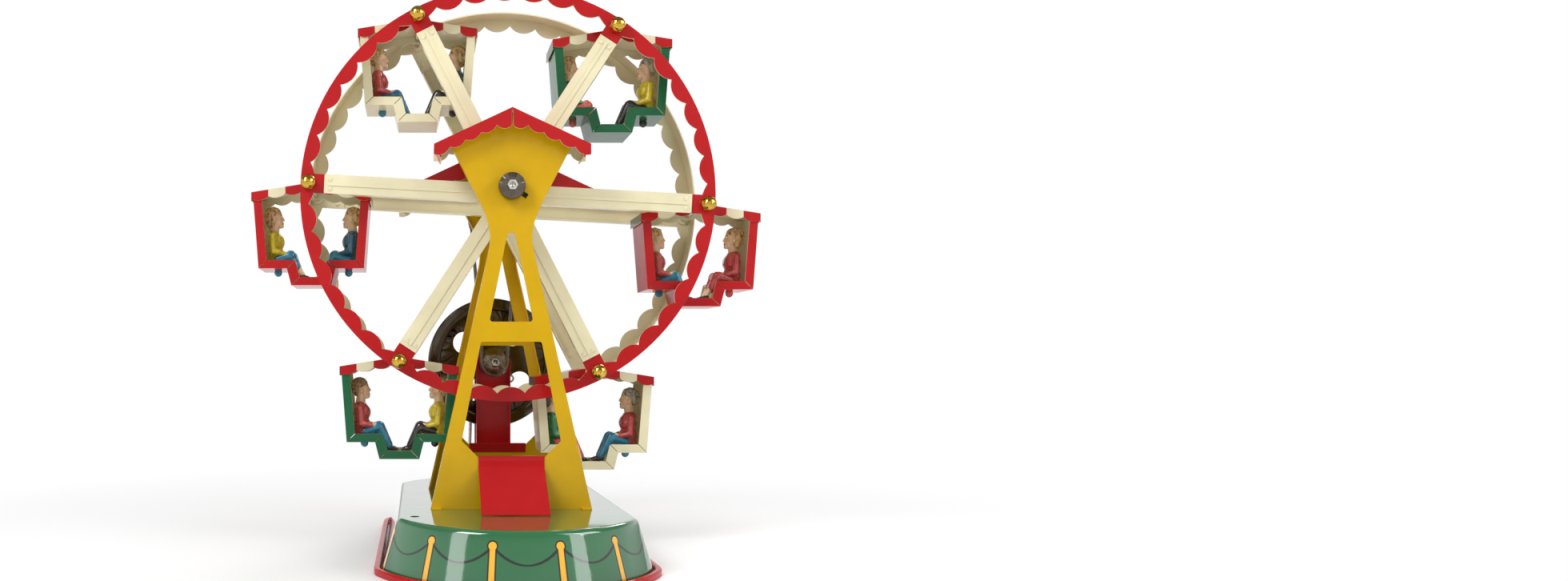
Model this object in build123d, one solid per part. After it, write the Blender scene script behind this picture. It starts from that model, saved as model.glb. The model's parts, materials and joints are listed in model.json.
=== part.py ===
"""Tin-plate ferris wheel toy: a wheel with six gondolas between two towers, driven by a belt.

Millimetres. X runs along the wheel's plane, Y along its shaft (the front is -Y), Z is up.
The origin is the middle of the base, at the surface it stands on.
"""
import os
from math import asin, atan, atan2, cos, degrees, radians, sin, tan

from build123d import *

# ---------------------------------------------------------------- driving dimensions
sheet = 0.7                  # tin plate of the base, towers, roofs and rings
thin_sheet = 0.6             # tin plate of the gondolas and ramps
stand_sheet = 0.8            # heavier plate of the drive stand
snug = 0.02                  # pieces fixed to each other
running = 0.05               # radial play of a turning shaft

# base
base_height = 27.0
base_half_width = 59.0       # flat top, at the straight sides
base_end_radius = 64.4
base_end_centre = 49.6
base_corner = 8.0
base_flare = 8.0             # how far the sides spread on the way down
base_edge = 3.0              # rounding of the top edge
rim_reach = 11.7             # outer face of the rolled rim, beyond the top's outline
rim_bead = 3.2
mount_hole_x = 50.5
mount_hole_y = 70.0
mount_hole_radius = 2.3

# towers
tower_y = 43.8
tower_foot_half = 42.2
tower_neck_half = 12.2
tower_neck_height = 133.0    # above the base
tower_waist_half = 10.9
tower_waist_height = 142.0
tower_head_half = 18.0
tower_head_height = 163.8
tower_head_slope = 0.519
tower_fold = 4.0
upper_window_low = 98.0
upper_window_high = 142.4
upper_window_low_half = 11.5
upper_window_high_half = 2.35
lower_window_low = 27.2
lower_window_cut = 35.6
lower_window_high = 87.5
lower_window_low_half = 17.5
lower_window_cut_half = 26.0
lower_window_high_half = 15.9
window_corner = 1.5
foot_tab_width = 5.0
foot_tab_reach = 4.0

# ramps
ramp_half_width = 17.3
ramp_lip = 5.0
ramp_drop = 5.7
ramp_reach = 24.5

# roofs
roof_slope = 25.0
roof_apex = 235.5
front_roof_half = 40.6
front_roof_depth = 17.0
front_roof_centre = 42.5
front_valance = 5.5
front_middle_drop = 9.1      # where the two middle scallops meet
front_scallop = 1.9
front_scallops = 5
rear_roof_half = 60.8
rear_roof_depth = 39.0
rear_roof_centre = 52.5
rear_valance = 9.2
rear_scallop = 1.9
rear_scallops = 6
rear_middle_half = 9.9       # the one large scallop in the middle
rear_middle_drop = 21.6
roof_end_lip = 8.0
roof_seam = 0.7              # slit in the middle of each valance

# wheel
shaft_height = 168.3         # above the base
shaft_radius = 2.0
shaft_end_radius = 1.5
ring_radius = 112.8
ring_face = 25.0             # outer face of each ring, from the middle
ring_flange = 11.0
ring_edge = 4.3              # width of the face at the valleys between its scallops
ring_scallop = 3.7
ring_first_valley = 6.0      # degrees from each spoke
ring_valley_step = 8.0
ring_valleys = 7
tab_width = 10.4
tab_lap = 7.3                # how far a ring's tab and a spoke lie on each other
spoke_width = 10.3
spoke_fold = 4.0
spoke_fold_gap = 1.5         # between the folds of neighbouring arms, along the arm
spoke_fold_stop = 0.3        # between a fold and the ring's tab
spoke_ridge_width = 1.8
spoke_ridge = 0.45
spoke_ridge_stop = 2.0       # from the spoke's end
star_disc_radius = 9.0
hub_tube_radius = 4.0
rivet_radius = 0.9
rivet_inset = 3.3            # from the spoke's end
rivet_spread = 2.6
rivet_head = 0.25
rivet_overhang = 0.35
gondola_count = 6
first_gondola = -3.1         # degrees, seen from the front

# gondola axles
axle_inset = 4.5             # from the ring's outside
axle_to_spoke = 8.5          # from the axle to the spoke's end
axle_radius = 1.5
axle_end_radius = 1.2
washer_radius = 3.6
washer_thickness = 1.0
cap_nut_radius = 4.15
cap_nut_centre = 3.0         # in front of the ring's face
cap_nut_bore = 2.0           # beyond its centre

# hub, front end
bush_radius = 3.6
bush_flange_radius = 6.0
bush_flange = 1.0
bush_proud = 0.5
collar_gap = 1.0             # from the tower
collar_radius = 7.0
collar_length = 4.8
collar_knurls = 44
collar_knurl = 0.3
collar_knurl_half = 0.22
collar_land = 0.5            # smooth part at each end of the knurl
nut_cover = 0.6              # how far a shaft's end stays inside its nut
grub_slot_half = 0.2
grub_slot_depth = 0.6
grub_radius = 1.3
grub_reach = 9.6
grub_angle = -35.0
front_nut_radius = 2.8
front_nut_length = 2.2

# belt drive
belt_y = 64.0
belt_radius = 1.1
large_pitch_radius = 15.0
large_flange_radius = 16.8
drive_ratio = 2.0
small_flange_radius = 9.5
small_disc_radius = 7.8
pulley_half_width = 3.0
pulley_lip = 1.1
pulley_cone_outer = 13.5
pulley_cone_inner = 9.3
pulley_hub_radius = 6.2
pulley_cone_rise = 1.4
pulley_hub_rise = 2.6
pulley_nut_radius = 3.6
pulley_nut_length = 2.6
small_hub_radius = 3.4
small_hub_back = 0.8
small_hub_front = 1.0
small_nut_radius = 2.5
small_nut_length = 2.0

# flywheel and its stand
flywheel_axle_height = 77.5  # above the base
flywheel_axle_radius = 1.6
flywheel_y = 87.0
flywheel_radius = 41.9
flywheel_rim = 6.0
flywheel_rim_depth = 8.0
flywheel_web = 2.4
flywheel_hub_radius = 6.0
flywheel_hub = 9.0
flywheel_bead_radius = 35.5
flywheel_bead = 0.7
flywheel_hole_radius = 7.2
flywheel_hole_place = 22.4
flywheel_hole_angles = [53.0, 145.0, 234.0, 324.0]
inner_upright_y = 77.0
outer_upright_y = 95.2
upright_half_width = 11.0
upright_height = 83.5
upright_chamfer = 4.0
upright_fold = 3.2
stand_bush_radius = 3.0
stand_bush_flange = 0.7
stand_bush_flange_radius = 4.2
ball_radius = 8.5
ball_gap = 0.4               # from the outer upright
stand_screw_x = -4.0
stand_screw_height = 11.0
stand_screw_head_radius = 3.75
stand_screw_head = 2.2
stand_screw_shank = 1.6
screw_slot = 1.0
screw_slot_depth = 1.0
screw_turn = 20.0            # degrees
screw_tip = 1.2              # behind the clip
rod_radius = 1.15
rod_low = (-14.8, 6.3)       # across, and height above the base
rod_high = (-11.3, 119.0)
clip_low = 6.5
clip_high = 17.0
clip_sheet = 0.6
clip_clearance = 0.4
hook_radius = 2.0            # to the middle of its wire
hook_wire = 0.6
hook_height = 67.0

# gondolas, measured from their own axle
canopy_half = 33.2
canopy_half_depth = 13.3
canopy_top = 2.5
canopy_slope = 9.2
canopy_valance = 3.6
canopy_scallop = 1.7
canopy_scallops = 7
canopy_lip = 5.0
post_top_half = 32.4
seat_half = 29.3
seat_low = -45.0
well_top_half = 13.5
well_low_half = 11.1
well_low = -54.4
gondola_half_depth = 12.6
gondola_fold = 4.6
gondola_mitre = 0.35         # slit between the folds at each corner

# seated figures, measured from the gondola's axle; the left one, facing right
figure_half_depth = 6.5
figure_rounding = 1.0
figure_trunk = [             # from the seat's back, over the shoulders and knees, to the seat's front
    (-26.8, -26.0), (-24.4, -22.6), (-19.0, -22.6), (-16.6, -26.0), (-16.0, -31.0), (-17.0, -34.8),
    (-11.0, -32.6), (-8.9, -34.6), (-3.6, -46.6), (-0.8, -47.8), (-0.8, -50.9), (-8.4, -50.9),
    (-8.6, -47.6), (-11.8, -42.6)]
figure_back = -26.4
figure_front = -12.6
neck_radius = 2.6
neck_length = 3.6
neck_centre = (-22.0, -22.0)
head_half_depth = 4.5
head_centre = (-21.6, -15.4)
head_half_width = 4.9
head_half_height = 6.1
tab_slot_half = 2.0
figure_tab_drop = 2.6
figure_tab_x = -20.0
figure_tab_half_depth = 0.5
figure_tab_clearance = 0.1

# ---------------------------------------------------------------- worked out from those
base_top = base_height
wheel_z = base_top + shaft_height
drive_z = base_top + flywheel_axle_height
tower_front = tower_y + sheet / 2
tower_back = tower_y - sheet / 2
small_pitch_radius = large_pitch_radius / drive_ratio
ball_y = outer_upright_y + stand_sheet + ball_gap + ball_radius
ring_valley = ring_radius - ring_edge
ring_tip = ring_valley - ring_scallop
axle_place = ring_radius - axle_inset
spoke_reach = axle_place - axle_to_spoke
tab_inner = spoke_reach - tab_lap
rivet_reach = spoke_reach - rivet_inset
groove_half = belt_radius + running
gondola_angles = [first_gondola + 360.0 / gondola_count * k for k in range(gondola_count)]

written = []


def keep(name, thing):
    """Write one sub-part."""
    written.append(name)
    export_step(thing, "parts/" + name + ".step")


def block(low, high):
    """A box between two corners."""
    size = [b - a for a, b in zip(low, high)]
    middle = [(a + b) / 2 for a, b in zip(low, high)]
    return Pos(*middle) * Box(*size)


def rod_y(radius, y0, y1, x=0.0, z=0.0):
    """A round bar along Y."""
    return Pos(x, (y0 + y1) / 2, z) * Rot(90, 0, 0) * Cylinder(radius, abs(y1 - y0))


def slab(face, y0, y1):
    """A face drawn in X and Z, given a thickness from y0 to y1."""
    return extrude(Plane.XZ.offset(-y1) * face, amount=y1 - y0)


def polygon(points):
    """A face with straight edges."""
    return make_face(Polyline(*points, close=True))


def both_sides(half):
    """A closed outline from its right half, listed from the bottom up."""
    return half + [(-x, z) for x, z in reversed(half) if x != 0]


def turned(profile, z=0.0):
    """A piece turned on a lathe about Y: the profile lists radius and place along Y."""
    face = make_face(Polyline(*profile, close=True))
    return Pos(0, 0, z) * revolve(face, axis=Axis.Y)


def around(angle, thing, z=0.0):
    """Turn a piece about the shaft, anticlockwise seen from the front."""
    return Pos(0, 0, z) * Rot(0, -angle, 0) * thing


def polar(radius, angle):
    return (radius * cos(radians(angle)), radius * sin(radians(angle)))


def mirror_y(thing):
    return mirror(thing, about=Plane.XZ)


def mirror_x(thing):
    return mirror(thing, about=Plane.YZ)


# ---------------------------------------------------------------- base
def base_outline(spread):
    """The base seen from above: straight sides and bowed ends, moved out by spread."""
    half = base_half_width + spread
    radius = base_end_radius + spread
    ends = Pos(0, base_end_centre) * Circle(radius) + Pos(0, -base_end_centre) * Circle(radius)
    middle = Rectangle(2 * half, 2 * base_end_centre)
    strip = Rectangle(2 * half, 2 * (base_end_centre + radius))
    outline = (ends + middle) & strip
    corner_y = base_end_centre + (radius ** 2 - half ** 2) ** 0.5
    corners = [v for v in outline.vertices() if abs(abs(v.Y) - corner_y) < 0.5]
    return fillet(corners, radius=base_corner + spread).face()


def flared(low_spread, high_spread, z0, z1, edge):
    """A block with the base's outline, wider at its foot, with a rounded top edge."""
    body = loft([Pos(0, 0, z0) * base_outline(low_spread), Pos(0, 0, z1) * base_outline(high_spread)],
                ruled=True)
    rounded = body.edges().group_by(Axis.Z)[-1]
    return fillet(rounded, radius=edge)


def base_tub():
    outer = flared(base_flare, 0.0, sheet, base_top, base_edge)
    inner = flared(base_flare - sheet, -sheet, 0.0, base_top - sheet, base_edge - sheet)
    tub = outer - inner
    for side in (-1, 1):
        place = Pos(side * mount_hole_x, side * mount_hole_y, base_top)
        tub -= place * Cylinder(mount_hole_radius, 4 * sheet)
    return tub


def base_rim():
    bead = extrude(base_outline(rim_reach) - base_outline(rim_reach - rim_bead), amount=rim_bead)
    bead = fillet(bead.edges().group_by(Axis.Z)[-1], radius=rim_bead / 3)
    web = extrude(base_outline(rim_reach - rim_bead / 2) - base_outline(base_flare - rim_bead), amount=sheet)
    return bead + web


# ---------------------------------------------------------------- towers
def roof_underside(x):
    """Height of a roof's inner face."""
    return roof_apex - sheet / cos(radians(roof_slope)) - abs(x) * tan(radians(roof_slope))


def tower_outline(inset, extra=0.0):
    """The tower's front, its sides moved in by inset and its ends out by extra."""
    foot = (tower_foot_half - inset, base_top - extra)
    neck = (tower_neck_half - inset, base_top + tower_neck_height)
    waist = (tower_waist_half - inset, base_top + tower_waist_height)
    head = (tower_head_half - inset, base_top + tower_head_height)
    # the head's side meets the underside of the roof
    fall = tan(radians(roof_slope))
    room = roof_underside(0) - head[1] - fall * head[0]
    rise = room / (1 + fall * tower_head_slope)
    eave = (head[0] + tower_head_slope * rise, head[1] + rise)
    ridge = (0.0, roof_underside(0) + extra)
    top = (eave[0], eave[1] + extra)
    edges = [Line((-foot[0], foot[1]), foot)]
    for side in (-1, 1):
        corners = [(side * x, z) for x, z in (foot, neck, waist, head, eave, top)]
        edges.append(Line(corners[0], corners[1]))
        edges.append(Spline(*corners[1:4], tangents=[(-0.22 * side, 1), (0.5 * side, 1)]))
        edges.append(Line(corners[3], corners[4]))
        if extra:
            edges.append(Line(corners[4], corners[5]))
        edges.append(Line(corners[5], ridge))
    return make_face(Wire(edges))


def upper_window():
    low = base_top + upper_window_low
    high = base_top + upper_window_high
    shape = polygon(both_sides([(upper_window_low_half, low), (upper_window_high_half, high)]))
    shape = fillet(shape.vertices().group_by(Axis.Y)[0], radius=window_corner)
    return shape + Pos(0, high) * Circle(upper_window_high_half)


def lower_window():
    shape = polygon(both_sides([
        (lower_window_low_half, base_top + lower_window_low),
        (lower_window_cut_half, base_top + lower_window_cut),
        (lower_window_high_half, base_top + lower_window_high)]))
    return fillet(shape.vertices().group_by(Axis.Y)[-1], radius=window_corner)


def tower():
    """The rear tower; its folded edges point towards the wheel."""
    blank = slab(tower_outline(0.0), tower_front - tower_fold, tower_front)
    hollow = slab(tower_outline(sheet, 2.0), tower_front - tower_fold, tower_back)
    shell = blank - hollow
    shell -= slab(upper_window(), tower_back - 1, tower_front + 1)
    shell -= slab(lower_window(), tower_back - 1, tower_front + 1)
    shell -= rod_y(bush_radius + snug, tower_back - 1, tower_front + 1, 0, wheel_z)
    for side in (-1, 1):
        x = side * (tower_foot_half - foot_tab_width / 2 - sheet)
        low = (x - foot_tab_width / 2, tower_back, base_top)
        shell += block(low, (x + foot_tab_width / 2, tower_front + foot_tab_reach, base_top + sheet))
    return shell


def shaft_bush():
    """Flanged bush in the rear tower, its flange on the wheel's side."""
    bush = rod_y(bush_radius, tower_back, tower_front + bush_proud, 0, wheel_z)
    bush += rod_y(bush_flange_radius, tower_back - bush_flange, tower_back, 0, wheel_z)
    return bush - rod_y(shaft_radius + running, tower_back - 5, tower_front + 5, 0, wheel_z)


# ---------------------------------------------------------------- roofs
def scalloped(start, half, start_drop, drop, dip, count):
    """One side of a valance, from start outwards: its lower edge is a row of scallops."""
    fall = tan(radians(roof_slope))
    lows = [(start, roof_apex - start * fall - start_drop)]
    for k in range(1, count + 1):
        x = start + (half - start) / count * k
        lows.append((x, roof_apex - x * fall - drop))
    edges = []
    for a, b in zip(lows, lows[1:]):
        middle = ((a[0] + b[0]) / 2, (a[1] + b[1]) / 2 - dip)
        edges.append(ThreePointArc(a, middle, b))
    inner = (start, roof_apex - start * fall)
    outer = (half, roof_apex - half * fall)
    edges += [Line(lows[-1], outer), Line(outer, inner), Line(inner, lows[0])]
    return make_face(Wire(edges))


def middle_scallop(half, valance, drop):
    """The large scallop under the ridge."""
    top = roof_apex - half * tan(radians(roof_slope))
    corners = [(half, top - valance), (half, top), (0.0, roof_apex), (-half, top), (-half, top - valance)]
    edges = [ThreePointArc(corners[-1], (0.0, roof_apex - drop), corners[0])]
    edges += [Line(a, b) for a, b in zip(corners, corners[1:])]
    return make_face(Wire(edges))


def roof(half, depth, centre, skirt):
    """A gable roof with a scalloped valance on each side and a lip at each end."""
    fall = tan(radians(roof_slope))
    thick = sheet / cos(radians(roof_slope))
    y0 = centre - depth / 2
    y1 = centre + depth / 2
    end_z = roof_apex - half * fall
    deck = slab(polygon(both_sides([(half, end_z - thick), (half, end_z), (0, roof_apex)])
                        + [(0, roof_apex - thick)]), y0, y1)
    valances = slab(skirt, y1 - sheet, y1) + slab(skirt, y0, y0 + sheet)
    valances -= block((-roof_seam / 2, y0 - 1, wheel_z), (roof_seam / 2, y1 + 1, roof_apex - thick - roof_seam))
    shell = deck + valances
    lip = Pos(half, 0, end_z) * Rot(0, roof_slope, 0) * block((-sheet, y0, -roof_end_lip), (0.0, y1, 0.0))
    return shell + lip + mirror_x(lip)


def front_roof():
    side = scalloped(0.0, front_roof_half, front_middle_drop, front_valance, front_scallop, front_scallops)
    return roof(front_roof_half, front_roof_depth, -front_roof_centre, side + mirror_x(side))


def rear_roof():
    side = scalloped(rear_middle_half, rear_roof_half, rear_valance, rear_valance, rear_scallop, rear_scallops)
    tongue = middle_scallop(rear_middle_half, rear_valance, rear_middle_drop)
    return roof(rear_roof_half, rear_roof_depth, rear_roof_centre, side + mirror_x(side) + tongue)


# ---------------------------------------------------------------- ramps
def strip(points, thickness, half_width):
    """A bent strip: the points list Y and Z along its middle."""
    body = None
    for (y0, z0), (y1, z1) in zip(points, points[1:]):
        length = ((y1 - y0) ** 2 + (z1 - z0) ** 2) ** 0.5
        angle = degrees(asin((z1 - z0) / length))
        if y1 < y0:
            angle = 180 - angle
        plate = Pos(0, (y0 + y1) / 2, (z0 + z1) / 2) * Rot(angle, 0, 0) * Box(2 * half_width, length, thickness)
        body = plate if body is None else body + plate
    for y, z in points[1:-1]:
        body += Pos(0, y, z) * Rot(0, 90, 0) * Cylinder(thickness / 2, 2 * half_width)
    return body


def ramp():
    """The rear ramp, hooked over the sill of the lower window."""
    sill = base_top + lower_window_low
    half = thin_sheet / 2
    y_in = tower_back - half
    y_out = tower_front + half
    points = [(y_in, sill - ramp_lip), (y_in, sill + half), (y_out, sill + half),
              (y_out, sill - ramp_drop), (tower_front + ramp_reach, base_top + half)]
    return strip(points, thin_sheet, ramp_half_width)


# ---------------------------------------------------------------- wheel
def ring_inner_edge():
    """The scalloped hole in a ring's face."""
    valleys = []
    for spoke in gondola_angles:
        valleys += [spoke + ring_first_valley + ring_valley_step * k for k in range(ring_valleys)]
    edges = []
    for a, b in zip(valleys, valleys[1:] + [valleys[0] + 360]):
        edges.append(ThreePointArc(polar(ring_valley, a), polar(ring_tip, (a + b) / 2), polar(ring_valley, b)))
    return make_face(Wire(edges))


def rivet_places():
    """Places of the two rivets at each spoke's end."""
    places = []
    for angle in gondola_angles:
        for side in (-1, 1):
            places.append((angle, side * rivet_spread))
    return places


def ring():
    """The rear ring; its flange points towards the wheel's middle."""
    inner_face = ring_face - sheet
    face = slab(Circle(ring_radius) - ring_inner_edge(), inner_face, ring_face)
    flange = rod_y(ring_radius, ring_face - ring_flange, ring_face)
    flange -= rod_y(ring_radius - sheet, ring_face - ring_flange - 1, ring_face + 1)
    body = face + flange
    for angle in gondola_angles:
        tab = block((tab_inner, inner_face, -tab_width / 2), (ring_valley, ring_face, tab_width / 2))
        body += around(angle, tab)
    for angle in gondola_angles:
        hole = rod_y(axle_end_radius + snug, inner_face - 1, ring_face + 1, axle_place)
        body -= around(angle, hole)
    for angle, side in rivet_places():
        hole = rod_y(rivet_radius + snug, inner_face - 1, ring_face + 1, rivet_reach, side)
        body -= around(angle, hole)
    return Pos(0, 0, wheel_z) * body


def spokes():
    """The rear star: six channel arms, pressed from one sheet, with a ridge along each."""
    outer_face = ring_face + sheet
    star = rod_y(star_disc_radius, ring_face, outer_face)
    half = spoke_width / 2
    for angle in gondola_angles:
        arm = block((0, ring_face, -half), (spoke_reach, outer_face, half))
        arm += block((0, outer_face, -spoke_ridge_width / 2),
                     (spoke_reach - spoke_ridge_stop, outer_face + spoke_ridge, spoke_ridge_width / 2))
        for side in (-1, 1):
            edge = side * (half - sheet / 2)
            fold_start = half / tan(radians(180 / gondola_count)) + spoke_fold_gap
            arm += block((fold_start, ring_face - spoke_fold, edge - sheet / 2),
                         (tab_inner - spoke_fold_stop, ring_face, edge + sheet / 2))
        star += around(angle, arm)
    star -= rod_y(shaft_radius + snug, ring_face - 1, outer_face + 2)
    for angle, side in rivet_places():
        hole = rod_y(rivet_radius + snug, ring_face - 1, outer_face + 2, rivet_reach, side)
        star -= around(angle, hole)
    return Pos(0, 0, wheel_z) * star


def rivets():
    """Rivets through the rear star and ring."""
    back = ring_face - sheet - rivet_head
    front = ring_face + sheet + rivet_head
    shapes = []
    for angle, side in rivet_places():
        rivet = rod_y(rivet_radius, back, front, rivet_reach, side)
        head = rivet_radius + rivet_overhang
        rivet += rod_y(head, ring_face + sheet, front, rivet_reach, side)
        rivet += rod_y(head, back, ring_face - sheet, rivet_reach, side)
        shapes.append(around(angle, rivet, wheel_z))
    return shapes


def hub_tube():
    tube = rod_y(hub_tube_radius, -ring_face, ring_face, 0, wheel_z)
    return tube - rod_y(shaft_radius + snug, -ring_face - 1, ring_face + 1, 0, wheel_z)


collar_start = tower_front + collar_gap
collar_end = collar_start + collar_length
shaft_front_end = collar_end + front_nut_length - nut_cover
pulley_face = belt_y + pulley_half_width + pulley_hub_rise
shaft_rear_end = pulley_face + pulley_nut_length - nut_cover


def main_shaft():
    shaft = rod_y(shaft_radius, -collar_end, pulley_face, 0, wheel_z)
    shaft += rod_y(shaft_end_radius, -shaft_front_end, -collar_end, 0, wheel_z)
    return shaft + rod_y(shaft_end_radius, pulley_face, shaft_rear_end, 0, wheel_z)


def front_collar():
    collar = rod_y(collar_radius - collar_knurl, -collar_end, -collar_start)
    tooth = block((collar_radius - 1, -collar_end + collar_land, -collar_knurl_half),
                  (collar_radius, -collar_start - collar_land, collar_knurl_half))
    for k in range(collar_knurls):
        collar += around(360 / collar_knurls * k, tooth)
    collar -= rod_y(shaft_radius + snug, -collar_end - 1, -collar_start + 1)
    hole_y = -(collar_start + collar_end) / 2
    hole = Pos(grub_reach / 2, hole_y, 0) * Rot(0, 90, 0) * Cylinder(grub_radius + snug, grub_reach)
    return Pos(0, 0, wheel_z) * (collar - around(grub_angle, hole))


def grub_screw():
    y = -(collar_start + collar_end) / 2
    start = shaft_radius + snug
    length = grub_reach - start
    screw = Pos(start + length / 2, y, 0) * Rot(0, 90, 0) * Cylinder(grub_radius, length)
    slot = block((grub_reach - grub_slot_depth, y - grub_radius, -grub_slot_half),
                 (grub_reach + 1, y + grub_radius, grub_slot_half))
    return around(grub_angle, screw - slot, wheel_z)


def hex_nut(radius, bore, y0, y1, z):
    nut = extrude(Plane.XZ.offset(-y1) * RegularPolygon(radius, 6), amount=y1 - y0)
    nut -= rod_y(bore + snug, y0 - 1, y1 + 1)
    return Pos(0, 0, z) * nut


def gondola_axle(angle):
    seat = ring_face - sheet
    nut_room = ring_face + cap_nut_centre + cap_nut_bore
    axle = rod_y(axle_radius, -seat, seat, axle_place)
    for side in (-1, 1):
        axle += rod_y(axle_end_radius, side * seat, side * nut_room, axle_place)
    return around(angle, axle, wheel_z)


def cap_nut(angle):
    """The rear ball nut of one axle, flat where it meets the ring."""
    centre = ring_face + cap_nut_centre
    ball = Pos(axle_place, centre, 0) * Sphere(cap_nut_radius)
    flat = block((axle_place - 9, ring_face - 9, -9), (axle_place + 9, ring_face, 9))
    ball -= flat
    ball -= rod_y(axle_end_radius + snug, ring_face - 1, centre + cap_nut_bore, axle_place)
    return around(angle, ball, wheel_z)


def axle_washer(angle):
    seat = ring_face - sheet
    disc = rod_y(washer_radius, seat - washer_thickness, seat, axle_place)
    disc -= rod_y(axle_radius + snug, seat - washer_thickness - 1, seat + 1, axle_place)
    return around(angle, disc, wheel_z)


# ---------------------------------------------------------------- belt drive
def large_pulley():
    y0 = belt_y - pulley_half_width
    y1 = belt_y + pulley_half_width
    groove = large_pitch_radius - belt_radius - running
    flat_y = y1 + pulley_cone_rise
    profile = [
        (shaft_radius + snug, y0), (large_flange_radius, y0), (large_flange_radius, y0 + pulley_lip),
        (groove, belt_y - groove_half), (groove, belt_y + groove_half),
        (large_flange_radius, y1 - pulley_lip), (large_flange_radius, y1),
        (pulley_cone_outer, y1), (pulley_cone_inner, flat_y), (pulley_hub_radius, flat_y),
        (pulley_hub_radius, pulley_face), (shaft_radius + snug, pulley_face)]
    return turned(profile, wheel_z)


def small_pulley():
    y0 = belt_y - pulley_half_width
    y1 = belt_y + pulley_half_width
    groove = small_pitch_radius - belt_radius - running
    bore = flywheel_axle_radius + snug
    profile = [
        (bore, y0 - small_hub_back), (small_hub_radius, y0 - small_hub_back), (small_hub_radius, y0),
        (small_disc_radius, y0), (small_disc_radius, y0 + pulley_lip),
        (groove, belt_y - groove_half), (groove, belt_y + groove_half),
        (small_flange_radius, y1 - pulley_lip), (small_flange_radius, y1),
        (small_hub_radius, y1), (small_hub_radius, y1 + small_hub_front), (bore, y1 + small_hub_front)]
    return turned(profile, drive_z)


def drive_belt():
    """An open round belt: two straight runs and the arcs round the pulleys."""
    lean = degrees(asin((large_pitch_radius - small_pitch_radius) / (wheel_z - drive_z)))
    top = [polar(large_pitch_radius, a) for a in (-lean, 90, 180 + lean)]
    low = [polar(small_pitch_radius, a) for a in (180 + lean, 270, -lean)]
    top = [(x, z + wheel_z) for x, z in top]
    low = [(x, z + drive_z) for x, z in low]
    path = Wire([ThreePointArc(*top), Line(top[2], low[0]), ThreePointArc(*low), Line(low[2], top[0])])
    path = Plane.XZ.offset(-belt_y) * path
    start = path @ 0
    section = Plane(origin=start, z_dir=path % 0) * Circle(belt_radius)
    return sweep(section, path=path)


# ---------------------------------------------------------------- flywheel and its stand
def flywheel():
    rim_inner = flywheel_radius - flywheel_rim_depth
    rim = flywheel_rim / 2
    web = flywheel_web / 2
    hub = flywheel_hub / 2
    bore = flywheel_axle_radius + snug
    half = [
        (bore, hub), (flywheel_hub_radius, hub), (flywheel_hub_radius, web), (rim_inner, web),
        (rim_inner, rim), (flywheel_bead_radius - 1, rim), (flywheel_bead_radius, rim + flywheel_bead),
        (flywheel_bead_radius + 1, rim), (flywheel_radius - 1.2, rim), (flywheel_radius, rim - 1.2)]
    profile = [(r, flywheel_y - y) for r, y in half] + [(r, flywheel_y + y) for r, y in reversed(half)]
    wheel = turned(profile)
    for angle in flywheel_hole_angles:
        hole = rod_y(flywheel_hole_radius, flywheel_y - 5, flywheel_y + 5, flywheel_hole_place)
        wheel -= around(angle, hole)
    return Pos(0, 0, drive_z) * wheel


def upright(y, notched):
    """One upright of the stand, its long edges folded towards the tower."""
    half = upright_half_width
    top = base_top + upright_height
    outline = polygon(both_sides([(half, base_top), (half, top - upright_chamfer),
                                  (half - upright_chamfer, top)]))
    plate = slab(outline, y, y + stand_sheet)
    for side in (-1, 1):
        inner = side * (half - stand_sheet)
        xs = sorted((inner, side * half))
        fold = block((xs[0], y - upright_fold, base_top), (xs[1], y, top - upright_chamfer))
        plate += fold
    plate -= rod_y(stand_bush_radius + snug, y - 1, y + 2, 0, drive_z)
    if notched:
        plate -= block((-half - 1, y - upright_fold - 1, base_top + clip_low - clip_clearance),
                       (-half + stand_sheet + clip_clearance, y, base_top + clip_high + clip_clearance))
        plate -= rod_y(stand_screw_shank + snug, y - 1, y + 2, stand_screw_x, base_top + stand_screw_height)
    return plate


def drive_stand():
    floor = block((-upright_half_width, inner_upright_y, base_top),
                  (upright_half_width, outer_upright_y + stand_sheet, base_top + stand_sheet))
    return upright(inner_upright_y, False) + upright(outer_upright_y, True) + floor


def stand_bush(y):
    bush = rod_y(stand_bush_radius, y, y + stand_sheet, 0, drive_z)
    bush += rod_y(stand_bush_flange_radius, y - stand_bush_flange, y, 0, drive_z)
    return bush - rod_y(flywheel_axle_radius + running, y - 5, y + 5, 0, drive_z)


rod_y_place = outer_upright_y - clip_sheet - rod_radius - running
small_nut_face = belt_y - pulley_half_width - small_hub_back


def flywheel_axle():
    return rod_y(flywheel_axle_radius, small_nut_face - small_nut_length + nut_cover, ball_y, 0, drive_z)


def ball_knob():
    ball = Pos(0, ball_y, drive_z) * Sphere(ball_radius)
    return ball - rod_y(flywheel_axle_radius + snug, ball_y - 2 * ball_radius, ball_y, 0, drive_z)


def on_rod(height):
    """Across and height of the rod's middle, for a height above the base."""
    share = (height - rod_low[1]) / (rod_high[1] - rod_low[1])
    return (rod_low[0] + share * (rod_high[0] - rod_low[0]), base_top + height)


def along_rod(radius, low, high):
    x0, z0 = on_rod(low)
    x1, z1 = on_rod(high)
    lean = degrees(atan((x1 - x0) / (z1 - z0)))
    length = ((x1 - x0) ** 2 + (z1 - z0) ** 2) ** 0.5
    bar = Rot(0, lean, 0) * Cylinder(radius, length)
    return Pos((x0 + x1) / 2, rod_y_place, (z0 + z1) / 2) * bar


def guide_rod():
    x, z = on_rod(rod_high[1])
    return along_rod(rod_radius, rod_low[1], rod_high[1]) + Pos(x, rod_y_place, z) * Sphere(rod_radius)


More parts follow.
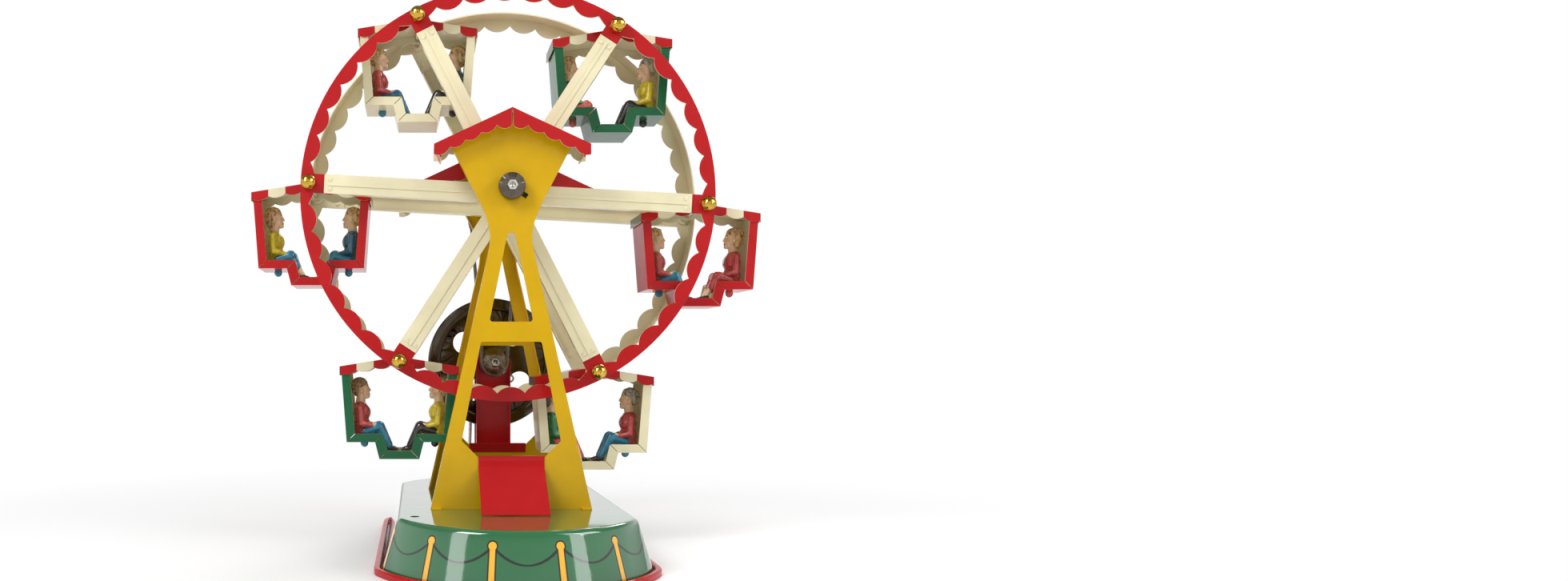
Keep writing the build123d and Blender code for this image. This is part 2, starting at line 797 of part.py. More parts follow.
def rod_clip():
    """A plate behind the outer upright, curled round the rod."""
    x0 = on_rod(clip_low)[0]
    plate = block((x0, outer_upright_y - clip_sheet, base_top + clip_low),
                  (stand_screw_x + stand_screw_head_radius, outer_upright_y, base_top + clip_high))
    plate += along_rod(rod_radius + running + clip_sheet, clip_low, clip_high)
    plate -= along_rod(rod_radius + running, clip_low - 3, clip_high + 3)
    return plate - rod_y(stand_screw_shank + snug, outer_upright_y - 2, outer_upright_y + 2, stand_screw_x,
                         base_top + stand_screw_height)


def stand_screw():
    face = outer_upright_y + stand_sheet
    z = base_top + stand_screw_height
    curve = (stand_screw_head_radius ** 2 + stand_screw_head ** 2) / (2 * stand_screw_head)
    head = Pos(0, face + stand_screw_head - curve, 0) * Sphere(curve)
    head -= block((-20, face - 20, -20), (20, face, 20))
    head += rod_y(stand_screw_shank, outer_upright_y - clip_sheet - screw_tip, face)
    slot_y = face + stand_screw_head - screw_slot_depth
    head -= block((-screw_slot / 2, slot_y, -9), (screw_slot / 2, face + 9, 9))
    return Pos(stand_screw_x, 0, z) * Rot(0, screw_turn, 0) * head


def side_hook():
    """A wire hook on the side of the inner upright, its two ends against the fold."""
    x = upright_half_width
    y = inner_upright_y - upright_fold / 2
    z = base_top + hook_height
    loop = Pos(x, y, z) * Rot(90, 0, 0) * Torus(hook_radius, hook_wire)
    return loop - block((x - 9, y - 9, z - 9), (x, y + 9, z + 9))


# ---------------------------------------------------------------- gondolas
def gondola_outline(inset, top):
    """The gondola's frame seen from the front, moved in by inset."""
    return [
        (well_low_half - inset, well_low + inset), (well_top_half - inset, seat_low + inset),
        (seat_half - inset, seat_low + inset), (post_top_half - inset, top)]


def canopy_underside(x):
    return canopy_top - thin_sheet - abs(x) * tan(radians(canopy_slope))


def gondola_frame():
    top = canopy_underside(post_top_half)
    outer = polygon(both_sides(gondola_outline(0.0, top)))
    hollow = polygon(both_sides(gondola_outline(thin_sheet, top + 1)))
    window = polygon(both_sides(gondola_outline(gondola_fold, top + 1)))
    half = gondola_half_depth
    frame = slab(outer - hollow, -half, half)
    for y0 in (-half, half - thin_sheet):
        frame += slab(outer - window, y0, y0 + thin_sheet)
    corners = zip(gondola_outline(thin_sheet, top)[:-1], gondola_outline(gondola_fold, top)[:-1])
    for (x0, z0), (x1, z1) in corners:
        reach = ((x1 - x0) ** 2 + (z1 - z0) ** 2) ** 0.5 + 1
        lean = degrees(atan2(z1 - z0, x1 - x0))
        slit = block((0, half - thin_sheet, -gondola_mitre / 2), (reach, half + 1, gondola_mitre / 2))
        slit = Pos(x0, 0, z0) * Rot(0, -lean, 0) * slit
        for cut in (slit, mirror_x(slit)):
            frame = frame - cut - mirror_y(cut)
    for side in (-1, 1):
        x = side * figure_tab_x
        gap = figure_tab_half_depth + figure_tab_clearance
        wide = tab_slot_half + figure_tab_clearance
        frame -= block((x - wide, -gap, seat_low - 1), (x + wide, gap, seat_low + 1))
    return frame


def canopy():
    """Gable canopy with scalloped valances; the axle runs through both of them."""
    fall = tan(radians(canopy_slope))
    thick = thin_sheet / cos(radians(canopy_slope))
    half = canopy_half_depth
    end_z = canopy_top - canopy_half * fall
    deck = slab(polygon(both_sides([(canopy_half, end_z - thick), (canopy_half, end_z), (0, canopy_top)])
                        + [(0, canopy_top - thick)]), -half, half)
    width = 2 * canopy_half / canopy_scallops
    edges = []
    for k in range(canopy_scallops):
        x0 = -canopy_half + k * width
        x1 = x0 + width
        xm = (x0 + x1) / 2
        low = [canopy_top - abs(x) * fall - canopy_valance for x in (x0, xm, x1)]
        edges.append(ThreePointArc((x0, low[0]), (xm, low[1] - canopy_scallop), (x1, low[2])))
    right_low = (canopy_half, end_z - canopy_valance)
    left_low = (-canopy_half, end_z - canopy_valance)
    edges += [Line(right_low, (canopy_half, end_z)), Line((canopy_half, end_z), (0, canopy_top)),
              Line((0, canopy_top), (-canopy_half, end_z)), Line((-canopy_half, end_z), left_low)]
    skirt = make_face(Wire(edges))
    shell = deck + slab(skirt, half - thin_sheet, half) + slab(skirt, -half, -half + thin_sheet)
    for side in (-1, 1):
        xs = sorted((side * canopy_half, side * (canopy_half - thin_sheet)))
        shell += block((xs[0], -half, end_z - canopy_lip), (xs[1], half, end_z))
    return shell - rod_y(axle_radius + running, -half - 1, half + 1)


def figure():
    """The left rider, seated and facing right."""
    seat = seat_low + thin_sheet
    trunk = polygon([(figure_back, seat)] + figure_trunk + [(figure_front, seat)])
    body = slab(trunk, -figure_half_depth, figure_half_depth)
    edges = [e for e in body.edges() if abs(e.length - 2 * figure_half_depth) > 0.01]
    edges = [e for e in edges if e.bounding_box().size.Y < 0.01 and e.center().Z > seat + 1.0]
    body = fillet(edges, radius=figure_rounding)
    head_turn = head_half_depth / head_half_height
    head = scale(Sphere(head_half_height), by=(head_half_width / head_half_height, head_turn, 1.0))
    body += Pos(head_centre[0], 0, head_centre[1]) * head
    body += Pos(neck_centre[0], 0, neck_centre[1]) * Cylinder(neck_radius, neck_length)
    body += block((figure_tab_x - tab_slot_half, -figure_tab_half_depth, seat_low - figure_tab_drop),
                  (figure_tab_x + tab_slot_half, figure_tab_half_depth, seat))
    return body


# ---------------------------------------------------------------- write every sub-part
def main():
    os.makedirs("parts", exist_ok=True)
    keep("base_tub", base_tub())
    keep("base_rim", base_rim())
    one_tower = tower()
    keep("rear_tower", one_tower)
    keep("front_tower", mirror_y(one_tower))
    keep("shaft_bushes", Compound([shaft_bush(), mirror_y(shaft_bush())]))
    keep("front_roof", front_roof())
    keep("rear_roof", rear_roof())
    keep("rear_ramp", ramp())
    keep("front_ramp", mirror_y(ramp()))
    keep("drive_stand", drive_stand())
    keep("stand_bushes", Compound([stand_bush(inner_upright_y), stand_bush(outer_upright_y)]))
    keep("stand_screw", stand_screw())
    keep("rod_clip", rod_clip())
    keep("guide_rod", guide_rod())
    keep("side_hook", side_hook())
    keep("drive_belt", drive_belt())

    rear = ring()
    keep("rear_ring", rear)
    keep("front_ring", mirror_y(rear))
    star = spokes()
    keep("rear_spokes", star)
    keep("front_spokes", mirror_y(star))
    pins = rivets()
    keep("spoke_rivets", Compound(pins + [mirror_y(pin) for pin in pins]))
    keep("hub_tube", hub_tube())
    keep("main_shaft", main_shaft())
    keep("front_collar", front_collar())
    keep("collar_grub_screw", grub_screw())
    keep("front_nut", hex_nut(front_nut_radius, shaft_end_radius, -collar_end - front_nut_length,
                              -collar_end, wheel_z))
    keep("large_pulley", large_pulley())
    keep("pulley_nut", hex_nut(pulley_nut_radius, shaft_end_radius, pulley_face,
                               pulley_face + pulley_nut_length, wheel_z))
    keep("gondola_axles", Compound([gondola_axle(a) for a in gondola_angles]))
    nuts = [cap_nut(a) for a in gondola_angles]
    keep("axle_cap_nuts", Compound(nuts + [mirror_y(nut) for nut in nuts]))
    washers = [axle_washer(a) for a in gondola_angles]
    keep("axle_washers", Compound(washers + [mirror_y(washer) for washer in washers]))

    keep("flywheel", flywheel())
    keep("flywheel_axle", flywheel_axle())
    keep("small_pulley", small_pulley())
    keep("axle_nut", hex_nut(small_nut_radius, flywheel_axle_radius, small_nut_face - small_nut_length,
                             small_nut_face, drive_z))
    keep("ball_knob", ball_knob())

    one_frame = gondola_frame()
    one_canopy = canopy()
    left_rider = figure()
    right_rider = mirror_x(left_rider)
    for k, angle in enumerate(gondola_angles):
        x, z = polar(axle_place, angle)
        place = Pos(x, 0, z + wheel_z)
        name = "gondola_" + str(k + 1)
        keep(name + "_frame", place * one_frame)
        keep(name + "_canopy", place * one_canopy)
        keep(name + "_left_rider", place * left_rider)
        keep(name + "_right_rider", place * right_rider)
    print(len(written), "sub-parts")


main()
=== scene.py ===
"""Looks of the tin-plate ferris wheel toy. Metres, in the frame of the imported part."""
import json
from math import acos, atan2, cos, degrees, hypot, pi, radians, sin, sqrt, tan

import bmesh
import bpy
from mathutils import Matrix, Vector


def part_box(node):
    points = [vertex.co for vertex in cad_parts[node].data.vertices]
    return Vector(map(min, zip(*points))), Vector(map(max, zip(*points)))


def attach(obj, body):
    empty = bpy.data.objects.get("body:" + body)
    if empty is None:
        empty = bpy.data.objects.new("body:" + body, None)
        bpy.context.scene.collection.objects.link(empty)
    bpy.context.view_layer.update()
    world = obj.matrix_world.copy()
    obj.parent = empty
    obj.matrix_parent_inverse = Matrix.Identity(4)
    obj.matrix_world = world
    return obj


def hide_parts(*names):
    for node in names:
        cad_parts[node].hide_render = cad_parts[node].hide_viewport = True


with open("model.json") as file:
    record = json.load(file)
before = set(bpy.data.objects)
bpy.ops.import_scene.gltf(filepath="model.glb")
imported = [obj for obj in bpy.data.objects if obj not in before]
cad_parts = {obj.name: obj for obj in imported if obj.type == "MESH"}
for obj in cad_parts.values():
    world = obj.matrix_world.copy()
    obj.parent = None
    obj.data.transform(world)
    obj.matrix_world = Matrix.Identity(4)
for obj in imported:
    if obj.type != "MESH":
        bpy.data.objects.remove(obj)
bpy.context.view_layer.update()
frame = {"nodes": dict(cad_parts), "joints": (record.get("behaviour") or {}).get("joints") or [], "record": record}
nodes = frame["nodes"]
joints = {joint["name"]: joint for joint in frame["joints"]}

MM = 0.001

# ---------------------------------------------------------------- places, from the frame
BODIES = frame["record"]["behaviour"]["bodies"]
BODY_OF = {node: body for body, members in BODIES.items() for node in members}
SLOT_OF = {part["node"]: part["material_slot"] for part in frame["record"]["subparts"]}
WHEEL = Vector(joints["wheel_spin"]["pos_m"])
DRIVE = Vector(joints["flywheel_spin"]["pos_m"])
GONDOLAS = range(1, 7)
AXLES = {k: Vector(joints["gondola_%d_swing" % k]["pos_m"]) for k in GONDOLAS}


# ---------------------------------------------------------------- colours, linear light
def srgb(code):
    """Linear colour from a hexadecimal screen colour."""
    parts = [int(code[i:i + 2], 16) / 255 for i in (0, 2, 4)]
    linear = [p / 12.92 if p <= 0.04045 else ((p + 0.055) / 1.055) ** 2.4 for p in parts]
    return (*linear, 1.0)


def scaled(color, factor, lift=0.0):
    """A colour made darker or lighter."""
    return (*(min(1.0, part * factor + lift) for part in color[:3]), 1.0)


RED = srgb("B2181B")
CREAM = srgb("E4DCB8")
YELLOW = srgb("D0A40A")
BASE_GREEN = srgb("2B6B42")
GONDOLA_GREEN = srgb("1F5F3C")
POST_YELLOW = srgb("F2B72E")
RAY = srgb("E8B23E")
BLACK = srgb("161412")
BRASS = srgb("D9AE4A")
NICKEL = srgb("C9C3B6")
CHROME = srgb("DAD9D6")
COLLAR_STEEL = srgb("6F665B")
FLYWHEEL_STEEL = srgb("574E44")
SMALL_PULLEY_STEEL = srgb("85796A")
LARGE_PULLEY_STEEL = srgb("857A6C")
BLACK_STEEL = srgb("2A2725")
GREY_BELT = srgb("77736C")
# grey painted on the ends of the canopies
CANOPY_END_GREY = srgb("4E5A50")
SKIN = srgb("E3BD94")
CHEEK = srgb("D98A6A")
BROW = srgb("6B4A30")
# painted shade, laid on hollow parts of the skin
SKIN_PAINTED_SHADE = srgb("8A5A3C")
LIP = srgb("B5402F")
PUPIL = srgb("241C16")
WHITE = srgb("EFEDE6")
SHOE = srgb("2B2320")


# ---------------------------------------------------------------- material helpers
class Graph:
    """A material's node tree that is written as expressions."""

    SOCKETS = {"color": "Base Color", "metallic": "Metallic", "roughness": "Roughness",
               "coat": "Coat Weight", "coat_roughness": "Coat Roughness", "ior": "IOR"}

    def __init__(self, name):
        self.material = bpy.data.materials.new(name)
        self.material.use_nodes = True
        self.tree = self.material.node_tree
        self.shader = self.tree.nodes["Principled BSDF"]
        coordinates = self.tree.nodes.new("ShaderNodeTexCoord")
        self.place = coordinates.outputs["Object"]
        self.normal = coordinates.outputs["Normal"]

    def link(self, value, socket):
        if isinstance(value, bpy.types.NodeSocket):
            self.tree.links.new(value, socket)
        else:
            socket.default_value = value

    def math(self, operation, a, b=0.0):
        node = self.tree.nodes.new("ShaderNodeMath")
        node.operation = operation
        self.link(a, node.inputs[0])
        self.link(b, node.inputs[1])
        return node.outputs[0]

    def distance(self, value, target):
        """How far a value is from another one."""
        return self.math("ABSOLUTE", self.math("SUBTRACT", value, target))

    def vector(self, operation, a, b=(0, 0, 0)):
        node = self.tree.nodes.new("ShaderNodeVectorMath")
        node.operation = operation
        self.link(a, node.inputs[0])
        self.link(b, node.inputs[1])
        return node.outputs["Value" if operation in ("DOT_PRODUCT", "LENGTH") else "Vector"]

    def split(self, value):
        node = self.tree.nodes.new("ShaderNodeSeparateXYZ")
        self.link(value, node.inputs[0])
        return node.outputs[0], node.outputs[1], node.outputs[2]

    def mix(self, share, a, b):
        """Colour a where share is 0 and colour b where it is 1."""
        node = self.tree.nodes.new("ShaderNodeMix")
        node.data_type = "RGBA"
        self.link(share, node.inputs["Factor"])
        self.link(a, node.inputs[6])
        self.link(b, node.inputs[7])
        return node.outputs[2]

    def ramp(self, value, low, high, a=0.0, b=1.0):
        """From a at low to b at high, level beyond them."""
        node = self.tree.nodes.new("ShaderNodeMapRange")
        self.link(value, node.inputs["Value"])
        node.inputs["From Min"].default_value = low
        node.inputs["From Max"].default_value = high
        node.inputs["To Min"].default_value = a
        node.inputs["To Max"].default_value = b
        return node.outputs[0]

    def below(self, value, limit, soft):
        """1 where a value is under a limit, with a soft edge."""
        return self.ramp(value, limit + soft, limit - soft)

    def noise(self, size, detail=3.0, stretch=(1, 1, 1), roughness=0.5):
        """Soft noise whose features are about size metres."""
        node = self.tree.nodes.new("ShaderNodeTexNoise")
        place = self.vector("MULTIPLY", self.place, tuple(s / size for s in stretch))
        self.link(place, node.inputs["Vector"])
        node.inputs["Scale"].default_value = 1.0
        node.inputs["Detail"].default_value = detail
        node.inputs["Roughness"].default_value = roughness
        return node.outputs["Fac"]

    def noise_along(self, value, size, detail=3.0):
        """Soft noise that changes with one value alone."""
        node = self.tree.nodes.new("ShaderNodeTexNoise")
        node.noise_dimensions = "1D"
        self.link(self.math("MULTIPLY", value, 1 / size), node.inputs["W"])
        node.inputs["Scale"].default_value = 1.0
        node.inputs["Detail"].default_value = detail
        return node.outputs["Fac"]

    def hollow_shade(self, high, strength):
        """Strength of painted shade in hollow parts of the form, and 0 on its flat and round parts."""
        geometry = self.tree.nodes.new("ShaderNodeNewGeometry")
        return self.ramp(geometry.outputs["Pointiness"], 0.40, high, strength, 0.0)

    def bump(self, height, distance, strength):
        node = self.tree.nodes.new("ShaderNodeBump")
        node.inputs["Distance"].default_value = distance
        node.inputs["Strength"].default_value = strength
        self.link(height, node.inputs["Height"])
        self.link(node.outputs[0], self.shader.inputs["Normal"])

    def set(self, **values):
        for key, value in values.items():
            self.link(value, self.shader.inputs[self.SOCKETS[key]])


ENAMEL_SHADE = 0.05          # how much lighter and darker enamel is in places
INSIDE_SHADE = 0.04
SHADE_SIZE = 20 * MM
SCUFF_SIZE = 1.2 * MM
SMUDGE_SIZE = 16 * MM
WAVE_SIZE = 9 * MM
RIPPLE_SIZE = 1.1 * MM
RIPPLE_SHARE = 0.05
SIDE_BLEND = 0.12            # softness of the change from outside to inside


def vary(graph, color, amount=ENAMEL_SHADE, size=SHADE_SIZE):
    """A colour that is a little lighter and darker over the surface."""
    share = graph.ramp(graph.noise(size), 0.3, 0.7)
    return graph.mix(share, scaled(color, 1 - amount), scaled(color, 1 + amount))


def finish_enamel(graph, color, roughness=0.13, coat=0.0, ior=1.32):
    """Stoved enamel on tin: glossy, faintly wavy, with fine scuffs and smudges."""
    scuffs = graph.noise(SCUFF_SIZE, detail=6.0, stretch=(1, 1, 4), roughness=0.7)
    worn = graph.ramp(scuffs, 0.66, 0.74, 0.0, 0.10)
    smudge = graph.ramp(graph.noise(SMUDGE_SIZE), 0.35, 0.7, 0.0, 0.07)
    rough = graph.math("ADD", graph.math("ADD", worn, smudge), roughness)
    graph.set(color=color, roughness=rough, coat=coat, coat_roughness=0.04, ior=ior)
    ripples = graph.math("MULTIPLY", graph.noise(RIPPLE_SIZE), RIPPLE_SHARE)
    waves = graph.math("ADD", graph.noise(WAVE_SIZE), ripples)
    graph.bump(waves, 0.4 * MM, 0.22)


def one_colour(name, color, roughness):
    graph = Graph(name)
    finish_enamel(graph, vary(graph, color), roughness)
    return graph.material


def two_sided(name, outside, inside, centre, weights):
    """Enamel of one colour on faces that look away from centre and another on the rest."""
    graph = Graph(name)
    places = graph.split(graph.vector("SUBTRACT", graph.place, tuple(centre)))
    directions = graph.split(graph.normal)
    outward = 0.0
    for place, direction, weight in zip(places, directions, weights):
        facing = graph.math("MULTIPLY", graph.math("SIGN", place), direction)
        outward = graph.math("ADD", outward, graph.math("MULTIPLY", facing, weight))
    share = graph.ramp(outward, -SIDE_BLEND, SIDE_BLEND)
    finish_enamel(graph, graph.mix(share, vary(graph, inside, INSIDE_SHADE), vary(graph, outside)))
    return graph.material


def metal(name, color, roughness, grain=0.08):
    """Plated or bare metal with a fine grain and duller patches."""
    graph = Graph(name)
    lines = graph.noise(0.8 * MM, detail=4.0)
    rough = graph.ramp(lines, 0.25, 0.75, max(0.02, roughness - grain), roughness + grain)
    patches = graph.ramp(graph.noise(6 * MM, detail=5.0), 0.42, 0.72)
    paint = graph.mix(patches, color, scaled(color, 0.736))
    graph.set(color=paint, metallic=1.0, roughness=rough)
    graph.bump(lines, 0.06 * MM, 0.35)
    return graph.material


def turned_metal(name, color, roughness, centre):
    """Lathe-turned metal: rings about an axis along Y."""
    graph = Graph(name)
    away = graph.vector("SUBTRACT", graph.place, tuple(centre))
    radius = graph.vector("LENGTH", graph.vector("MULTIPLY", away, (1, 0, 1)))
    rings = graph.noise_along(radius, 0.7 * MM)
    rough = graph.ramp(rings, 0.25, 0.75, roughness * 0.6, roughness * 1.5)
    patches = graph.ramp(graph.noise(10 * MM, detail=5.0), 0.4, 0.75)
    paint = graph.mix(patches, color, scaled(color, 0.72))
    graph.set(color=paint, metallic=1.0, roughness=rough)
    graph.bump(rings, 0.05 * MM, 0.3)
    return graph.material


def dress(node, material):
    """Give a CAD node its material."""
    slots = nodes[node].data.materials
    if len(slots):
        for i in range(len(slots)):
            slots[i] = material
    else:
        slots.append(material)


# ---------------------------------------------------------------- mesh helpers
WELD = 1e-6                  # metres, vertices nearer than this are one
FOLD = 0.25 * MM             # radius of the folded edges of the tin
FLAT_ANGLE = 0.5             # degrees, faces that turn by less are one face
FOLD_ANGLE = 50              # degrees, edges that turn by more are folds
SHARP_ENAMEL = ("base_rim", "axle_washers", "spoke_rivets",
                *("gondola_%d_canopy" % k for k in GONDOLAS))


def new_piece(name, mesh_data, material, body, smooth=35.0):
    """An object from a bmesh, riding on a body."""
    mesh = bpy.data.meshes.new(name)
    bmesh.ops.recalc_face_normals(mesh_data, faces=mesh_data.faces)
    mesh_data.to_mesh(mesh)
    mesh_data.free()
    mesh.materials.append(material)
    piece = bpy.data.objects.new(name, mesh)
    bpy.context.scene.collection.objects.link(piece)
    for polygon in mesh.polygons:
        polygon.use_smooth = True
    mesh.set_sharp_from_angle(angle=radians(smooth))
    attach(piece, body)
    return piece


def soften_node(node, fold):
    """A copy of a CAD node with smooth curves and, where fold is set, softly folded edges."""
    source = nodes[node]
    mesh = bmesh.new()
    mesh.from_mesh(source.data)
    bmesh.ops.remove_doubles(mesh, verts=mesh.verts, dist=WELD)
    if fold:
        bmesh.ops.dissolve_limit(mesh, angle_limit=radians(FLAT_ANGLE), verts=mesh.verts,
                                 edges=mesh.edges)
        sharp = [edge for edge in mesh.edges if len(edge.link_faces) == 2
                 and edge.calc_face_angle(0.0) > radians(FOLD_ANGLE)]
        bmesh.ops.bevel(mesh, geom=sharp, offset=fold, segments=2, profile=0.5,
                        affect="EDGES", clamp_overlap=True)
    material = source.data.materials[0]
    piece = new_piece(node + "_finish", mesh, material, BODY_OF[node], smooth=32.0)
    piece.modifiers.new("normals", "WEIGHTED_NORMAL").keep_sharp = True
    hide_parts(node)


def soften_shown_nodes():
    """Soften every CAD node that is still shown, apart from the riders, who are modelled anew."""
    for node in nodes:
        if not nodes[node].hide_render and "rider" not in node:
            folded = SLOT_OF[node].endswith("enamel") and node not in SHARP_ENAMEL
            soften_node(node, FOLD if folded else 0.0)


def lathe(mesh, profile, centre, sign=1, segments=48):
    """Turn a profile of radius and distance along Y, in millimetres, about a centre in metres."""
    turns = [2 * pi * i / segments for i in range(segments)]
    rows = []
    for radius, along in profile:
        y = centre[1] + sign * along * MM
        rows.append([mesh.verts.new((centre[0] + radius * MM * cos(turn), y,
                                     centre[2] + radius * MM * sin(turn)))
                     for turn in (turns if radius else turns[:1])])
    for low, high in zip(rows, rows[1:]):
        for i in range(segments):
            j = (i + 1) % segments
            corners = [low[i % len(low)], low[j % len(low)],
                       high[j % len(high)], high[i % len(high)]]
            mesh.faces.new(list(dict.fromkeys(corners)))


# ---------------------------------------------------------------- camera, light and floor
PHOTO_WIDTH = 1960           # pixels
PHOTO_HEIGHT = 726
FOCAL_PIXELS = 1216.0
PRINCIPAL = (520.0, 460.0)   # pixels, where the camera's axis meets the photograph
CAMERA_PLACE = Vector((-49.9, -553.0, 100.7)) * MM
SENSOR = 36.0                # millimetres
NEAR_LIMIT = 0.01            # metres, as the lengths of lamps and floor
LAMPS = {                    # place, target, size, watts
    "key": ((-0.75, -0.7, 1.0), (0, 0, 0.15), (0.5, 0.5), 7.6),
    "fill": ((1.1, -0.5, 0.75), (0, 0, 0.15), (0.5, 0.5), 4.4),
    "top": ((0.0, 0.1, 1.2), (0, 0, 0.1), (1.0, 1.0), 4.6),
    "back": ((0.55, 1.1, 0.95), (0, 0, 0.15), (0.5, 0.5), 5.0),
    "strip_left": ((-0.72, -0.6, 0.6), (0, 0, 0.05), (0.26, 0.7), 2.0),
    "strip_right": ((0.72, -0.62, 0.6), (0, 0, 0.05), (0.24, 0.7), 1.8)}
UNREFLECTED_LAMP = "top"
ROOM_LIGHT = 0.40            # the room's strength on matt surfaces
ROOM_SEEN = ((0.0, 0.3), (0.12, 0.95), (0.28, 0.9), (0.5, 0.22))      # upward part, strength
FLOOR_REACH = 6.0
FLOOR_GREY = 0.86
FLOOR_FADE = (0.18, 0.46)    # distances between which the paper fades into the backdrop


def make_camera():
    data = bpy.data.cameras.new("camera")
    camera = bpy.data.objects.new("camera", data)
    bpy.context.scene.collection.objects.link(camera)
    data.sensor_width = SENSOR
    data.lens = FOCAL_PIXELS * SENSOR / PHOTO_WIDTH
    data.shift_x = (PHOTO_WIDTH / 2 - PRINCIPAL[0]) / PHOTO_WIDTH
    data.shift_y = (PRINCIPAL[1] - PHOTO_HEIGHT / 2) / PHOTO_WIDTH
    data.clip_start = NEAR_LIMIT
    camera.location = CAMERA_PLACE
    camera.rotation_euler = (pi / 2, 0, 0)
    bpy.context.scene.camera = camera


def make_lamps():
    for name, (place, target, size, power) in LAMPS.items():
        data = bpy.data.lights.new(name, "AREA")
        data.shape = "RECTANGLE"
        data.size, data.size_y = size
        data.energy = power
        lamp = bpy.data.objects.new(name, data)
        lamp.location = place
        aim = Vector(target) - Vector(place)
        lamp.rotation_euler = aim.to_track_quat("-Z", "Y").to_euler()
        lamp.visible_glossy = name != UNREFLECTED_LAMP
        bpy.context.scene.collection.objects.link(lamp)


def glossy_room(tree):
    """The room as polished surfaces see it: light at eye level, dimmer below and overhead."""
    direction = tree.nodes.new("ShaderNodeTexCoord").outputs["Generated"]
    split = tree.nodes.new("ShaderNodeSeparateXYZ")
    tree.links.new(direction, split.inputs[0])
    light = tree.nodes.new("ShaderNodeValToRGB")
    tree.links.new(split.outputs["Z"], light.inputs["Fac"])
    stops = light.color_ramp.elements
    stops[1].position = ROOM_SEEN[1][0]
    for upward, level in ROOM_SEEN[2:]:
        stops.new(upward)
    for stop, (upward, level) in zip(stops, ROOM_SEEN):
        stop.color = (level, level, level, 1)
    return light.outputs["Color"]


def make_room():
    """A white backdrop that lights matt surfaces less and shows polished ones a studio."""
    world = bpy.data.worlds.new("studio")
    bpy.context.scene.world = world
    world.use_nodes = True
    tree = world.node_tree
    background = tree.nodes["Background"]
    background.inputs["Color"].default_value = (1, 1, 1, 1)
    path = tree.nodes.new("ShaderNodeLightPath")
    lit = tree.nodes.new("ShaderNodeMapRange")
    tree.links.new(path.outputs["Is Glossy Ray"], lit.inputs["Value"])
    lit.inputs["To Min"].default_value = ROOM_LIGHT
    tree.links.new(glossy_room(tree), lit.inputs["To Max"])
    strength = tree.nodes.new("ShaderNodeMapRange")
    tree.links.new(path.outputs["Is Camera Ray"], strength.inputs["Value"])
    tree.links.new(lit.outputs[0], strength.inputs["To Min"])
    strength.inputs["To Max"].default_value = 1.0
    tree.links.new(strength.outputs[0], background.inputs["Strength"])


def make_floor():
    """Grey paper near the toy that fades into the white backdrop."""
    mesh = bpy.data.meshes.new("floor")
    corners = [(x * FLOOR_REACH, y * FLOOR_REACH, 0)
               for x, y in ((-1, -1), (1, -1), (1, 1), (-1, 1))]
    mesh.from_pydata(corners, [], [(0, 1, 2, 3)])
    floor = bpy.data.objects.new("floor", mesh)
    bpy.context.scene.collection.objects.link(floor)
    graph = Graph("floor_paper")
    graph.set(color=(FLOOR_GREY, FLOOR_GREY, FLOOR_GREY, 1), roughness=0.5)
    glow = graph.tree.nodes.new("ShaderNodeEmission")
    glow.inputs["Color"].default_value = (1, 1, 1, 1)
    blend = graph.tree.nodes.new("ShaderNodeMixShader")
    path = graph.tree.nodes.new("ShaderNodeLightPath")
    seen = graph.math("MAXIMUM", path.outputs["Is Camera Ray"], path.outputs["Is Glossy Ray"])
    far = graph.ramp(graph.vector("LENGTH", graph.place), *FLOOR_FADE)
    graph.link(graph.math("MULTIPLY", far, seen), blend.inputs[0])
    graph.tree.links.new(graph.shader.outputs[0], blend.inputs[1])
    graph.tree.links.new(glow.outputs[0], blend.inputs[2])
    output = graph.tree.nodes["Material Output"]
    graph.tree.links.new(blend.outputs[0], output.inputs["Surface"])
    mesh.materials.append(graph.material)


# ---------------------------------------------------------------- wheel, stand and drive
NUT_RADIUS = 4.15            # millimetres, as the lengths of the nuts below
NUT_SEAT = 3.0               # from the ring's face to the middle of the ball
RING_FACE = 25.0             # from the middle of the wheel
PIT_EDGE = 0.2               # radians, from the nut's tip to the edge of its pit
PIT_WALL = ((0.15, 0.08), (0.3, 0.35))       # inward and down from that edge
PIT_DEPTH = 0.5
NUT_STEPS = 24
KNOB_STEPS = 48
RING_SIDE = 1.6              # how much a ring's face counts against its flange


def dress_wheel():
    for side, sign in (("front", -1), ("rear", 1)):
        dress(side + "_ring", two_sided_ring(side + "_ring_enamel", sign))
    cream = one_colour("spoke_enamel", CREAM, 0.2)
    for node in ("front_spokes", "rear_spokes", "axle_washers", "spoke_rivets"):
        dress(node, cream)
    dress("main_shaft", metal("shaft_steel", NICKEL, 0.22))
    dress("hub_tube", metal("hub_steel", NICKEL, 0.28))
    dress("gondola_axles", metal("axle_steel", NICKEL, 0.2))
    ball_nuts(metal("polished_brass", BRASS, 0.12, grain=0.04))
    dress("pulley_nut", metal("nut_brass", BRASS, 0.18))
    dress("front_collar", turned_metal("knurled_nickel", COLLAR_STEEL, 0.14, WHEEL))
    dress("front_nut", metal("nut_nickel", CHROME, 0.18))
    dress("collar_grub_screw", metal("black_steel", BLACK_STEEL, 0.35))
    dress("large_pulley", turned_metal("pulley_nickel", LARGE_PULLEY_STEEL, 0.16, WHEEL))


def two_sided_ring(name, sign):
    """Red outside, cream inside, for a ring that faces sign times Y."""
    graph = Graph(name)
    away = graph.vector("SUBTRACT", graph.place, tuple(WHEEL))
    flat = graph.vector("NORMALIZE", graph.vector("MULTIPLY", away, (1, 0, 1)))
    outward = graph.vector("ADD", flat, (0, sign * RING_SIDE, 0))
    share = graph.ramp(graph.vector("DOT_PRODUCT", graph.normal, outward), -0.3, -0.1)
    finish_enamel(graph, graph.mix(share, vary(graph, CREAM, INSIDE_SHADE), vary(graph, RED)))
    return graph.material


